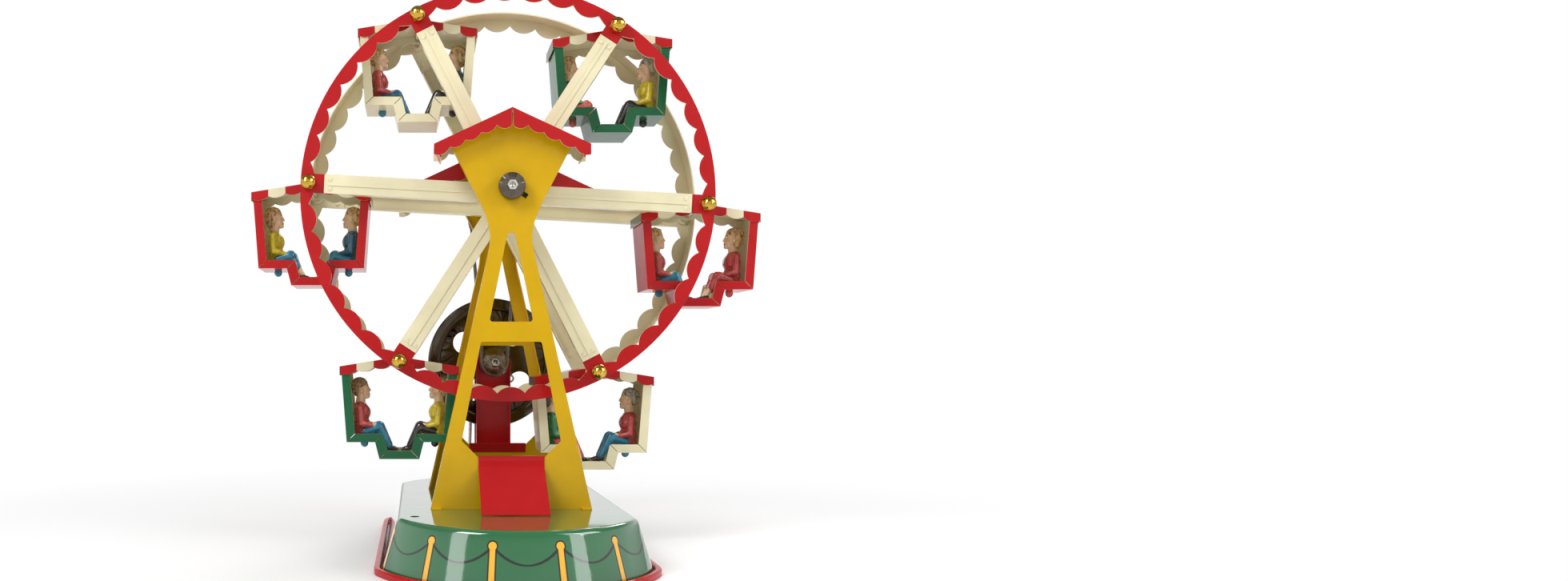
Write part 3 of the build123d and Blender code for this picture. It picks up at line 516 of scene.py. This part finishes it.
def ball_nuts(brass):
    """Twelve turned ball nuts, flat on the ring and with a small pit in the end."""
    mesh = bmesh.new()
    start = acos(-NUT_SEAT / NUT_RADIUS)
    profile = [(0.0, 0.0)]
    for i in range(NUT_STEPS + 1):
        angle = start + (PIT_EDGE - start) * i / NUT_STEPS
        profile.append((NUT_RADIUS * sin(angle), NUT_SEAT + NUT_RADIUS * cos(angle)))
    tip_radius, tip_end = profile[-1]
    profile += [(tip_radius - inward, tip_end - down) for inward, down in PIT_WALL]
    profile.append((0.0, tip_end - PIT_DEPTH))
    for k in GONDOLAS:
        for sign in (-1, 1):
            lathe(mesh, profile, (AXLES[k].x, sign * RING_FACE * MM, AXLES[k].z), sign)
    piece = new_piece("axle_cap_nuts_finish", mesh, brass, "wheel", smooth=40.0)
    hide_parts("axle_cap_nuts")


def dress_stand():
    tower_enamel = one_colour("tower_enamel", YELLOW, 0.15)
    for node in ("front_tower", "rear_tower"):
        dress(node, tower_enamel)
    red = one_colour("red_enamel_plain", RED, 0.14)
    for node in ("base_rim", "front_ramp", "rear_ramp", "drive_stand"):
        dress(node, red)
    for node in ("front_roof", "rear_roof"):
        low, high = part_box(node)
        under = ((low.x + high.x) / 2, (low.y + high.y) / 2, WHEEL.z / 2)
        dress(node, two_sided(node + "_enamel", RED, CREAM, under, (0.6, 1.0, 1.0)))
    dress("shaft_bushes", metal("bush_brass", BRASS, 0.2))
    dress("stand_bushes", metal("small_bush_brass", BRASS, 0.2))
    bright = metal("bright_steel", NICKEL, 0.2)
    for node in ("stand_screw", "rod_clip", "side_hook"):
        dress(node, bright)
    dress("guide_rod", metal("rod_chrome", CHROME, 0.1, grain=0.03))
    rubber = Graph("belt_rubber")
    rubber.set(color=vary(rubber, GREY_BELT, 0.2, 1.5 * MM), roughness=0.75)
    rubber.bump(rubber.noise(0.6 * MM, detail=4.0), 0.2 * MM, 0.5)
    dress("drive_belt", rubber.material)


def dress_drive():
    dress("flywheel", turned_metal("flywheel_nickel", FLYWHEEL_STEEL, 0.12, DRIVE))
    dress("small_pulley", turned_metal("small_pulley_nickel", SMALL_PULLEY_STEEL, 0.16, DRIVE))
    dress("flywheel_axle", metal("drive_axle_steel", NICKEL, 0.2))
    dress("axle_nut", metal("axle_nut_steel", NICKEL, 0.2))
    ball_on_axle(metal("ball_chrome", CHROME, 0.05, grain=0.02))


def ball_on_axle(chrome):
    """The chromed knob that turns the flywheel."""
    low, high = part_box("ball_knob")
    radius = (high.z - low.z) / 2 / MM
    angles = [pi * i / KNOB_STEPS for i in range(1, KNOB_STEPS)]
    side = [(radius * sin(angle), -radius * cos(angle)) for angle in angles]
    mesh = bmesh.new()
    lathe(mesh, [(0.0, -radius), *side, (0.0, radius)], (low + high) / 2, segments=2 * KNOB_STEPS)
    piece = new_piece("ball_knob_finish", mesh, chrome, "flywheel")
    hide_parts("ball_knob")


# ---------------------------------------------------------------- gondolas
GONDOLA_PAINT = {1: RED, 2: GONDOLA_GREEN, 3: CREAM, 4: RED, 5: GONDOLA_GREEN, 6: CREAM}
FRAME_CENTRE = Vector((0, 0, -28 * MM))      # from the gondola's axle
CANOPY_CENTRE = Vector((0, 0, -30 * MM))
CANOPY_HALF = 33.2 * MM
CANOPY_STRIPES = 7
GREY_END_EDGE = (0.15 * MM, 0.05 * MM)            # where the grey paint at each end of the canopy begins


def striped_canopy(k):
    """Red and cream stripes outside, one to each scallop, and cream inside."""
    graph = Graph("gondola_%d_canopy_litho" % k)
    centre = AXLES[k] + CANOPY_CENTRE
    x, y, z = graph.split(graph.vector("SUBTRACT", graph.place, tuple(centre)))
    across, through, up = graph.split(graph.normal)
    outward = up
    for place, direction in ((y, through), (x, across)):
        facing = graph.math("MULTIPLY", graph.math("SIGN", place), direction)
        outward = graph.math("ADD", outward, facing)
    pair_width = 4 * CANOPY_HALF / CANOPY_STRIPES
    step = graph.math("DIVIDE", graph.math("ADD", x, CANOPY_HALF), pair_width)
    phase = graph.math("FRACT", graph.math("ADD", step, 10.0))
    red_share = graph.ramp(graph.distance(phase, 0.75), 0.24, 0.26)
    outside = graph.mix(red_share, vary(graph, CREAM, INSIDE_SHADE), vary(graph, RED))
    # the outside is painted grey close to each end of the canopy
    end = graph.ramp(graph.math("ABSOLUTE", x), *(CANOPY_HALF - edge for edge in GREY_END_EDGE))
    outside = graph.mix(end, outside, CANOPY_END_GREY)
    share = graph.ramp(outward, -SIDE_BLEND, SIDE_BLEND)
    finish_enamel(graph, graph.mix(share, vary(graph, CREAM, INSIDE_SHADE), outside))
    return graph.material


def dress_gondola(k):
    centre = AXLES[k] + FRAME_CENTRE
    enamel = two_sided("gondola_%d_enamel" % k, GONDOLA_PAINT[k], CREAM, centre, (0.7, 1.0, 0.7))
    dress("gondola_%d_frame" % k, enamel)
    dress("gondola_%d_canopy" % k, striped_canopy(k))


# ---------------------------------------------------------------- base, with its printed posts
BASE_TOP = 27.0              # millimetres, as all lengths of the base and its print
BASE_FOOT = 0.7
BASE_HALF = 59.0             # half the width of the top
BASE_END_RADIUS = 64.4       # of the bowed ends of the top
BASE_END_CENTRE = 49.6       # how far beyond the middle those bows are struck from
BASE_CORNER = 8.0            # radius of the top's corners
BASE_FLARE = 8.0             # how much wider the foot is than the top, on each side
BASE_EDGE = 3.0              # radius of the edge round the top
BASE_SHEET = 0.7
SIDE_STEPS = 8
EDGE_STEPS = 8
LID_MARGIN = 1.5             # how far the skin's last row lies inside the rounded edge
HOLE_PLACES = ((50.5, 70.0), (-50.5, -70.0))
HOLE_RADIUS = 2.3
HOLE_LIP = 0.8
HOLE_STEPS = 28
PLAIN_GREEN = (0.25, -20.0)  # a place on the print that has neither rope nor post
PRINT_START = 2.0            # how far above the shoulder the print's depth counts from
POST_SPACING = 31.0
POST_HALF = 1.25
BALL_DOWN = 6.6              # the ball on top of a post
BALL_RADIUS = 1.9
BLACK_LINE = 0.7             # round each post and ball
ROPE_SAG = 8.2
ROPE_HALF = 0.42             # half the rope's width at its lowest point
ROPE_TOP = 3.0               # nothing is printed above this
INK_BLUR = 0.12
RAY_PLACES = (-37.0, 0.0, 37.0)
RAY_START = 42.6             # from the middle of the top
RAY_LENGTH = 11.0
RAY_HALF = 1.3               # half a ray's width where it starts
RAY_BLUR = 0.1


def arc_points(centre, radius, start, end, count):
    """Points and outward normals along an arc, angles in degrees."""
    found = []
    for i in range(count + 1):
        angle = radians(start + (end - start) * i / count)
        normal = (cos(angle), sin(angle))
        found.append(((centre[0] + radius * normal[0], centre[1] + radius * normal[1]), normal))
    return found


def base_outline():
    """The edge of the base's top, anticlockwise from the middle of the front."""
    inner_x = BASE_HALF - BASE_CORNER
    corner_y = BASE_END_CENTRE + sqrt((BASE_END_RADIUS - BASE_CORNER) ** 2 - inner_x ** 2)
    meet = degrees(atan2(corner_y - BASE_END_CENTRE, inner_x))
    front = arc_points((0, -BASE_END_CENTRE), BASE_END_RADIUS, -90, -meet, 24)
    front += arc_points((inner_x, -corner_y), BASE_CORNER, -meet, 0, 8)[1:]
    steps = 12
    straight = [((BASE_HALF, -corner_y + 2 * corner_y * i / steps), (1.0, 0.0))
                for i in range(1, steps)]
    back = [((x, -y), (nx, -ny)) for (x, y), (nx, ny) in reversed(front)]
    half = front + straight + back
    return half + [((-x, y), (-nx, ny)) for (x, y), (nx, ny) in reversed(half[1:-1])]


def side_section():
    """How far out and how high each level of the base's skin is, from the foot up."""
    lean = atan2(BASE_FLARE, BASE_TOP - BASE_FOOT)
    tangent = BASE_EDGE * tan((pi / 2 - lean) / 2)
    shoulder = (tangent * sin(lean), BASE_TOP - tangent * cos(lean))
    levels = []
    for i in range(SIDE_STEPS + 1):
        t = i / SIDE_STEPS
        levels.append((BASE_FLARE + (shoulder[0] - BASE_FLARE) * t,
                       BASE_FOOT + (shoulder[1] - BASE_FOOT) * t))
    for i in range(1, EDGE_STEPS + 1):
        angle = lean + (pi / 2 - lean) * i / EDGE_STEPS
        levels.append((BASE_EDGE * cos(angle) - tangent,
                       BASE_TOP - BASE_EDGE + BASE_EDGE * sin(angle)))
    levels.append((-tangent - LID_MARGIN, BASE_TOP))
    return levels


def print_on_base():
    """Green litho with a row of posts and sagging ropes round the side, and rays on the top."""
    graph = Graph("base_litho")
    uv = graph.tree.nodes.new("ShaderNodeUVMap")
    uv.uv_map = "skin"
    along, down, unused = graph.split(uv.outputs[0])
    phase = graph.math("FRACT", graph.math("ADD", along, 0.5))
    across = graph.math("MULTIPLY", graph.distance(phase, 0.5), POST_SPACING)
    across_squared = graph.math("POWER", across, 2.0)
    down_squared = graph.math("POWER", graph.distance(down, BALL_DOWN), 2.0)
    ball = graph.math("SQRT", graph.math("ADD", across_squared, down_squared))
    under_ball = graph.ramp(down, BALL_DOWN, BALL_DOWN + 0.2)

    def post_and_ball(line):
        """Where a post or its ball is, made wider all round by a line."""
        post = graph.below(across, POST_HALF + line, INK_BLUR)
        post = graph.math("MULTIPLY", post, under_ball)
        return graph.math("MAXIMUM", post, graph.below(ball, BALL_RADIUS + line, INK_BLUR))

    half_way = POST_SPACING / 2
    share = graph.math("DIVIDE", graph.math("SUBTRACT", half_way, across), half_way)
    sag = graph.math("SUBTRACT", 1.0, graph.math("POWER", share, 2.0))
    rope_down = graph.math("ADD", graph.math("MULTIPLY", sag, ROPE_SAG), BALL_DOWN + 0.2)
    rope_half = graph.math("ADD", graph.math("MULTIPLY", share, 0.5), ROPE_HALF)
    off_rope = graph.math("SUBTRACT", graph.distance(down, rope_down), rope_half)
    rope = graph.below(off_rope, 0.0, INK_BLUR)
    rope = graph.math("MULTIPLY", rope, graph.ramp(down, ROPE_TOP, ROPE_TOP + 0.5))
    paint = vary(graph, BASE_GREEN, 0.06, 30 * MM)
    paint = graph.mix(graph.math("MULTIPLY", rope, 0.93), paint, BLACK)
    paint = graph.mix(post_and_ball(BLACK_LINE), paint, BLACK)
    paint = graph.mix(post_and_ball(0.0), paint, POST_YELLOW)
    paint = graph.mix(graph.math("MULTIPLY", rays_on_top(graph), 0.9), paint, RAY)
    finish_enamel(graph, paint, 0.05, coat=1.0, ior=1.5)
    return graph.material


def rays_on_top(graph):
    """Thin pointed rays on the top, pointing away from the towers' feet."""
    x, y, z = graph.split(graph.place)
    beyond = graph.math("SUBTRACT", graph.math("ABSOLUTE", x), RAY_START * MM)
    out = graph.math("DIVIDE", beyond, RAY_LENGTH * MM)
    half = graph.math("MULTIPLY", graph.math("SUBTRACT", 1.0, out), RAY_HALF * MM)
    total = 0.0
    for place in RAY_PLACES:
        inside = graph.math("SUBTRACT", half, graph.distance(y, place * MM))
        ray = graph.ramp(inside, -RAY_BLUR * MM, RAY_BLUR * MM)
        ray = graph.math("MULTIPLY", ray, graph.ramp(out, 0.0, 0.02))
        total = graph.math("MAXIMUM", total, ray)
    on_top = graph.ramp(z, (BASE_TOP - 0.3) * MM, (BASE_TOP - 0.1) * MM)
    return graph.math("MULTIPLY", total, on_top)


def running_lengths(points):
    """The length along a line of points, at each of them."""
    lengths = [0.0]
    for a, b in zip(points, points[1:]):
        lengths.append(lengths[-1] + hypot(b[0] - a[0], b[1] - a[1]))
    return lengths


def make_base():
    """The tub's printed skin, with a map that runs along the side in posts and down it in mm."""
    outline = base_outline()
    count = len(outline)
    lengths = running_lengths([point for point, normal in outline + outline[:1]])
    posts = round(lengths[-1] / POST_SPACING / 2) * 2
    levels = side_section()
    depth = running_lengths(levels[::-1])[::-1]
    print_depth = depth[SIDE_STEPS] - PRINT_START
    mesh = bmesh.new()
    uv = mesh.loops.layers.uv.new("skin")
    rings = [[mesh.verts.new(((p[0] + n[0] * out) * MM, (p[1] + n[1] * out) * MM, z * MM))
              for p, n in outline] for out, z in levels]
    for level in range(len(levels) - 1):
        low, high = rings[level], rings[level + 1]
        for i in range(count):
            j = (i + 1) % count
            face = mesh.faces.new((low[i], low[j], high[j], high[i]))
            places = ((i, level), (i + 1, level), (i + 1, level + 1), (i, level + 1))
            for loop, (step, row) in zip(face.loops, places):
                loop[uv].uv = (lengths[step] / lengths[-1] * posts + 0.5, depth[row] - print_depth)
    close_lid(mesh, uv, rings[-1])
    tub = new_piece("base_skin", mesh, print_on_base(), "base", smooth=50)
    thicken = tub.modifiers.new("sheet", "SOLIDIFY")
    thicken.thickness = BASE_SHEET * MM
    thicken.offset = -1.0
    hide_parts("base_tub")


def close_lid(mesh, uv, top):
    """Fill the top inside its last row, round the screw holes and their lips."""
    edges = [mesh.edges.get((a, b)) for a, b in zip(top, top[1:] + top[:1])]
    for x, y in HOLE_PLACES:
        middle = Matrix.Translation((x * MM, y * MM, BASE_TOP * MM))
        hole = bmesh.ops.create_circle(mesh, cap_ends=False, radius=HOLE_RADIUS * MM,
                                       segments=HOLE_STEPS, matrix=middle)
        hole_edges = list({edge for vert in hole["verts"] for edge in vert.link_edges})
        edges += hole_edges
        wall = bmesh.ops.extrude_edge_only(mesh, edges=hole_edges)
        down = [part for part in wall["geom"] if isinstance(part, bmesh.types.BMVert)]
        bmesh.ops.translate(mesh, verts=down, vec=(0, 0, -HOLE_LIP * MM))
    filled = bmesh.ops.triangle_fill(mesh, use_beauty=True, edges=edges)
    for face in (part for part in filled["geom"] if isinstance(part, bmesh.types.BMFace)):
        for loop in face.loops:
            loop[uv].uv = PLAIN_GREEN


# ---------------------------------------------------------------- riders
LIMB_STEP = 0.7              # millimetres between the balls that make up a limb
HAIR_BACK = {"bob": (3.1, 4.7, 5.6), "short": (2.6, 4.4, 4.3),
             "bun": (2.5, 4.4, 4.2), "curly": (2.9, 4.6, 4.8)}
HAIR_CODES = {"blond": "C9A063", "brown": "9A7648", "dark": "4A3A28", "grey": "A89C84"}
CLOTH_CODES = {"rose": "B9413F", "blue": "1D7896", "navy": "1B4F66", "yellow": "C9B414",
               "green": "14733A", "pink": "D0625E", "black": "23201F"}
WITH_SHIRT = ("rose", "blue", "navy")
SEATS = {                    # gondola and facing: hair style and colour, top, legs, skirt
    (3, 1): ("short", "blond", "rose", "blue", False),
    (3, -1): ("curly", "blond", "blue", "black", False),
    (2, 1): ("curly", "blond", "green", "pink", True),
    (2, -1): ("bun", "grey", "yellow", "black", False),
    (4, 1): ("bob", "blond", "yellow", "blue", True),
    (4, -1): ("short", "blond", "navy", "blue", True),
    (1, 1): ("short", "blond", "rose", "blue", False),
    (1, -1): ("bob", "blond", "rose", "rose", True),
    (5, 1): ("short", "brown", "rose", "blue", False),
    (5, -1): ("short", "blond", "yellow", "black", False),
    (6, 1): ("curly", "dark", "green", "pink", False),
    (6, -1): ("bun", "grey", "rose", "blue", False)}


class Clay:
    """Balls and limbs merged into one smooth closed form. Millimetres, from the gondola's axle."""

    def __init__(self, facing):
        self.mesh = bmesh.new()
        self.facing = facing

    def ball(self, place, radii, tilt=0.0):
        if not isinstance(radii, tuple):
            radii = (radii, radii, radii)
        matrix = Matrix.Translation(Vector(place)) @ Matrix.Rotation(radians(tilt), 4, "Y")
        bmesh.ops.create_icosphere(self.mesh, subdivisions=3, radius=1.0,
                                   matrix=matrix @ Matrix.Diagonal((*radii, 1.0)))

    def pair(self, place, radii, tilt=0.0):
        for side in (-1, 1):
            self.ball((place[0], side * place[1], place[2]), radii, tilt)

    def limb(self, a, b, ra, rb):
        steps = max(2, int((Vector(b) - Vector(a)).length / LIMB_STEP))
        for i in range(steps + 1):
            t = i / steps
            self.ball(Vector(a).lerp(Vector(b), t), ra + (rb - ra) * t)

    def limbs(self, a, b, ra, rb):
        for side in (-1, 1):
            self.limb((a[0], side * a[1], a[2]), (b[0], side * b[1], b[2]), ra, rb)

    def make(self, name, k, material, voxel=0.42, soften=3):
        """Merge, smooth, scale to metres and place at gondola k."""
        self.mesh.transform(Matrix.Diagonal((self.facing, 1.0, 1.0, 1.0)))
        if self.facing < 0:
            bmesh.ops.reverse_faces(self.mesh, faces=self.mesh.faces)
        rough = bpy.data.meshes.new(name + "_rough")
        self.mesh.to_mesh(rough)
        self.mesh.free()
        source = bpy.data.objects.new(name + "_rough", rough)
        bpy.context.scene.collection.objects.link(source)
        remesh = source.modifiers.new("merge", "REMESH")
        remesh.mode = "VOXEL"
        remesh.voxel_size = voxel
        relax = source.modifiers.new("relax", "SMOOTH")
        relax.factor = 0.6
        relax.iterations = soften
        depsgraph = bpy.context.evaluated_depsgraph_get()
        done = bpy.data.meshes.new_from_object(source.evaluated_get(depsgraph))
        bpy.data.objects.remove(source)
        done.transform(Matrix.Scale(MM, 4))
        done.materials.clear()
        done.materials.append(material)
        for polygon in done.polygons:
            polygon.use_smooth = True
        piece = bpy.data.objects.new(name, done)
        bpy.context.scene.collection.objects.link(piece)
        piece.location = AXLES[k]
        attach(piece, "gondola_%d" % k)
        return piece


def litho_cloth_and_shade(name, color, shirt=None):
    """Printed clothes with a shirt at the neck, darker along faint folds, with painted shade in hollow parts of
    the form.
    """
    graph = Graph(name)
    folds = graph.noise(4.2 * MM, detail=2.0, stretch=(1.6, 0.6, 0.8))
    crease = graph.ramp(graph.distance(folds, 0.5), 0.0, 0.035, 0.38, 0.0)
    # darker colour, used for painted shade in hollow parts of the form and for the fold lines and collar print
    dark = scaled(color, 0.12)
    paint = graph.mix(graph.ramp(folds, 0.45, 0.75), color, scaled(color, 1.25, 0.02))
    # painted shade: hollow parts of the form are darkened, and so are the fold lines
    paint = graph.mix(graph.math("MAXIMUM", graph.hollow_shade(0.485, 0.55), crease), paint, dark)
    if shirt:
        collar = near_point(graph, (16.6, 0.0, -24.6), (2.9, 2.7, 6.2), 0.12)
        opening = near_point(graph, (16.4, 0.0, -24.2), (2.6, 2.2, 5.8), 0.12)
        paint = graph.mix(opening, graph.mix(collar, paint, dark), shirt)
    graph.set(color=paint, roughness=0.22, coat=0.4, coat_roughness=0.08)
    graph.bump(folds, 0.6 * MM, 0.5)
    return graph.material


def near_point(graph, place, radii, soft=0.25):
    """1 inside an ellipsoid given in millimetres, the same on both sides of the rider."""
    x, y, z = graph.split(graph.place)
    total = 0.0
    folded = (graph.math("ABSOLUTE", x), graph.math("ABSOLUTE", y), z)
    for value, centre, radius in zip(folded, place, radii):
        part = graph.math("DIVIDE", graph.math("SUBTRACT", value, centre * MM), radius * MM)
        total = graph.math("ADD", total, graph.math("MULTIPLY", part, part))
    return graph.below(total, 1.0, soft)


def litho_skin_and_shade():
    """Printed face: an eye and a brow on each side, a small mouth, and warm cheeks; hollow parts of the skin get
    painted shade.
    """
    graph = Graph("rider_skin")
    paint = vary(graph, SKIN, 0.08, 3 * MM)
    cheek = near_point(graph, (18.9, 3.0, -17.2), (1.3, 1.6, 1.2), 0.9)
    paint = graph.mix(graph.math("MULTIPLY", cheek, 0.35), paint, CHEEK)
    for place, radii, color in (((17.6, 1.9, -14.7), (0.75, 0.9, 0.42), WHITE),
                                ((17.35, 1.7, -14.7), (0.42, 0.6, 0.4), PUPIL),
                                ((17.7, 1.9, -13.7), (1.0, 1.1, 0.2), BROW),
                                ((16.9, 0.0, -18.5), (0.9, 1.4, 0.38), LIP)):
        paint = graph.mix(near_point(graph, place, radii), paint, color)
    # painted shade: hollow parts of the face, hands and legs are darkened
    paint = graph.mix(graph.hollow_shade(0.48, 0.5), paint, SKIN_PAINTED_SHADE)
    graph.set(color=paint, roughness=0.25, coat=0.4, coat_roughness=0.08)
    return graph.material


def litho_hair(name, color):
    """Printed hair: fine strands, dark between the locks."""
    graph = Graph(name)
    strands = graph.noise(1.1 * MM, detail=4.0, stretch=(1.0, 0.6, 0.45))
    paint = graph.mix(graph.ramp(strands, 0.36, 0.52), scaled(color, 0.28), color)
    paint = graph.mix(graph.ramp(strands, 0.58, 0.72), paint, scaled(color, 1.35))
    graph.set(color=paint, roughness=0.32, coat=0.3, coat_roughness=0.12)
    graph.bump(strands, 0.5 * MM, 0.7)
    return graph.material


def make_head(name, k, facing, style, skin, hair):
    head = Clay(facing)
    head.ball((-21.9, 0, -14.7), (4.3, 4.0, 4.9))                              # skull
    head.ball((-19.7, 0, -16.6), (2.5, 3.1, 4.4))                              # face
    head.limb((-17.7, 0, -14.9), (-16.95, 0, -16.4), 0.55, 0.72)               # nose
    head.ball((-18.3, 0, -20.0), (1.5, 1.9, 1.2))                              # chin
    head.ball((-17.5, 0, -18.5), (0.75, 1.3, 0.75))                            # mouth
    head.pair((-18.6, 1.6, -17.2), (1.3, 1.5, 1.6))                            # cheeks
    head.pair((-21.6, 3.8, -16.4), (1.0, 0.7, 1.5))                            # ears
    head.limb((-21.8, 0, -18.0), (-22.3, 0, -24.2), 2.5, 2.9)                  # neck
    locks = Clay(facing)
    locks.ball((-22.9, 0, -12.8), (4.75, 4.75, 3.9))                           # crown
    locks.ball((-24.6, 0, -15.6), HAIR_BACK[style])
    if style == "bun":
        locks.ball((-25.9, 0, -13.0), (1.9, 2.2, 1.9))
    if style == "bob":
        locks.pair((-23.4, 3.4, -18.3), (2.0, 1.4, 2.8))
    waves, size = (11, 1.35) if style == "curly" else (6, 0.95)
    for i in range(waves):
        turn = radians(55 + 160 * i / (waves - 1))
        for tilt in (-0.75, -0.25, 0.25, 0.75):
            x = -22.7 + 4.2 * cos(turn)
            z = -13.8 + 4.3 * sin(turn) - abs(tilt)
            locks.ball((x, 4.1 * tilt * 1.1, z), size)
    return [head.make(name + "_head", k, skin, voxel=0.3),
            locks.make(name + "_hair", k, hair, voxel=0.33, soften=2)]


def make_rider(k, facing, style, skirt, paints):
    """A seated tin doll. facing is 1 for the left rider, who faces right."""
    name = "rider_%d_%s" % (k, "left" if facing > 0 else "right")
    pieces = make_head(name, k, facing, style, paints["skin"], paints["hair"])
    coat = Clay(facing)
    coat.ball((-22.3, 0, -25.1), (3.8, 6.2, 2.7))                              # shoulders
    coat.ball((-21.3, 0, -29.0), (5.0, 6.0, 5.3))                              # chest
    coat.ball((-21.4, 0, -35.8), (4.9, 6.0, 5.0))                              # waist
    coat.ball((-20.7, 0, -39.9), (5.6, 6.3, 2.6))                              # hem
    coat.limbs((-22.4, 5.6, -26.2), (-21.6, 6.7, -34.6), 2.15, 1.95)           # upper arms
    coat.limbs((-21.6, 6.7, -34.8), (-15.8, 5.0, -36.2), 1.95, 1.45)           # forearms
    pieces.append(coat.make(name + "_jacket", k, paints["jacket"]))
    hands = Clay(facing)
    hands.limbs((-16.0, 5.0, -36.1), (-13.6, 4.2, -35.7), 1.1, 1.3)            # wrists
    hands.pair((-12.9, 4.0, -35.6), (1.9, 1.3, 0.9), 15)                       # palms
    pieces.append(hands.make(name + "_hands", k, paints["skin"], voxel=0.3, soften=2))
    lower = Clay(facing)
    if skirt:
        lower.ball((-19.5, 0, -40.2), (6.0, 6.2, 3.4))                         # hips
        lower.limbs((-19.5, 2.9, -39.6), (-12.6, 3.1, -37.4), 3.6, 3.5)        # thighs
        lower.ball((-13.2, 0, -37.6), (4.2, 6.2, 3.3))                         # lap
        lower.limbs((-12.2, 3.0, -38.0), (-9.6, 2.9, -43.6), 3.1, 2.6)         # hanging cloth
        lower.ball((-10.2, 0, -42.8), (2.6, 5.2, 3.2), -25)                    # hem
        shins = Clay(facing)
        shins.limbs((-9.2, 2.8, -43.0), (-5.5, 2.8, -48.4), 1.75, 1.2)
        pieces.append(shins.make(name + "_legs", k, paints["skin"], voxel=0.33, soften=2))
    else:
        lower.ball((-19.8, 0, -40.2), (5.8, 6.0, 3.4))                         # hips
        lower.limbs((-19.5, 2.9, -39.9), (-11.8, 3.2, -36.9), 3.5, 3.0)        # thighs
        lower.limbs((-11.4, 3.2, -37.0), (-5.8, 3.1, -47.6), 2.9, 1.9)         # shins
    pieces.append(lower.make(name + "_lower", k, paints["legs"]))
    shoes = Clay(facing)
    shoes.limbs((-6.0, 3.0, -48.9), (-3.0, 3.0, -49.6), 1.6, 1.25)             # heel to toe
    shoes.pair((-2.6, 3.0, -49.7), (1.9, 1.45, 1.0))                           # toecaps
    pieces.append(shoes.make(name + "_shoes", k, paints["shoes"], voxel=0.33, soften=2))
    tab = Clay(facing)
    tab.ball((-20.0, 0, -46.3), (2.3, 0.62, 2.4))                              # under the seat
    pieces.append(tab.make(name + "_tab", k, paints["legs"], voxel=0.3, soften=1))
    return pieces


def seat_riders():
    skin = litho_skin_and_shade()
    shoes = litho_cloth_and_shade("shoe_paint", SHOE)
    hair = {key: litho_hair(key + "_hair", srgb(code)) for key, code in HAIR_CODES.items()}
    cloth = {key: litho_cloth_and_shade(key + "_cloth", srgb(code), WHITE if key in WITH_SHIRT else None)
             for key, code in CLOTH_CODES.items()}
    for (k, facing), (style, tint, top, legs, skirt) in SEATS.items():
        paints = {"skin": skin, "hair": hair[tint], "jacket": cloth[top], "legs": cloth[legs],
                  "shoes": shoes}
        side = "left" if facing > 0 else "right"
        for piece in make_rider(k, facing, style, skirt, paints):
            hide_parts("gondola_%d_%s_rider" % (k, side))


make_camera()
make_lamps()
make_room()
make_floor()
dress_wheel()
dress_stand()
dress_drive()
for k in GONDOLAS:
    dress_gondola(k)
make_base()
soften_shown_nodes()
seat_riders()

bpy.context.scene.view_settings.view_transform = "Standard"
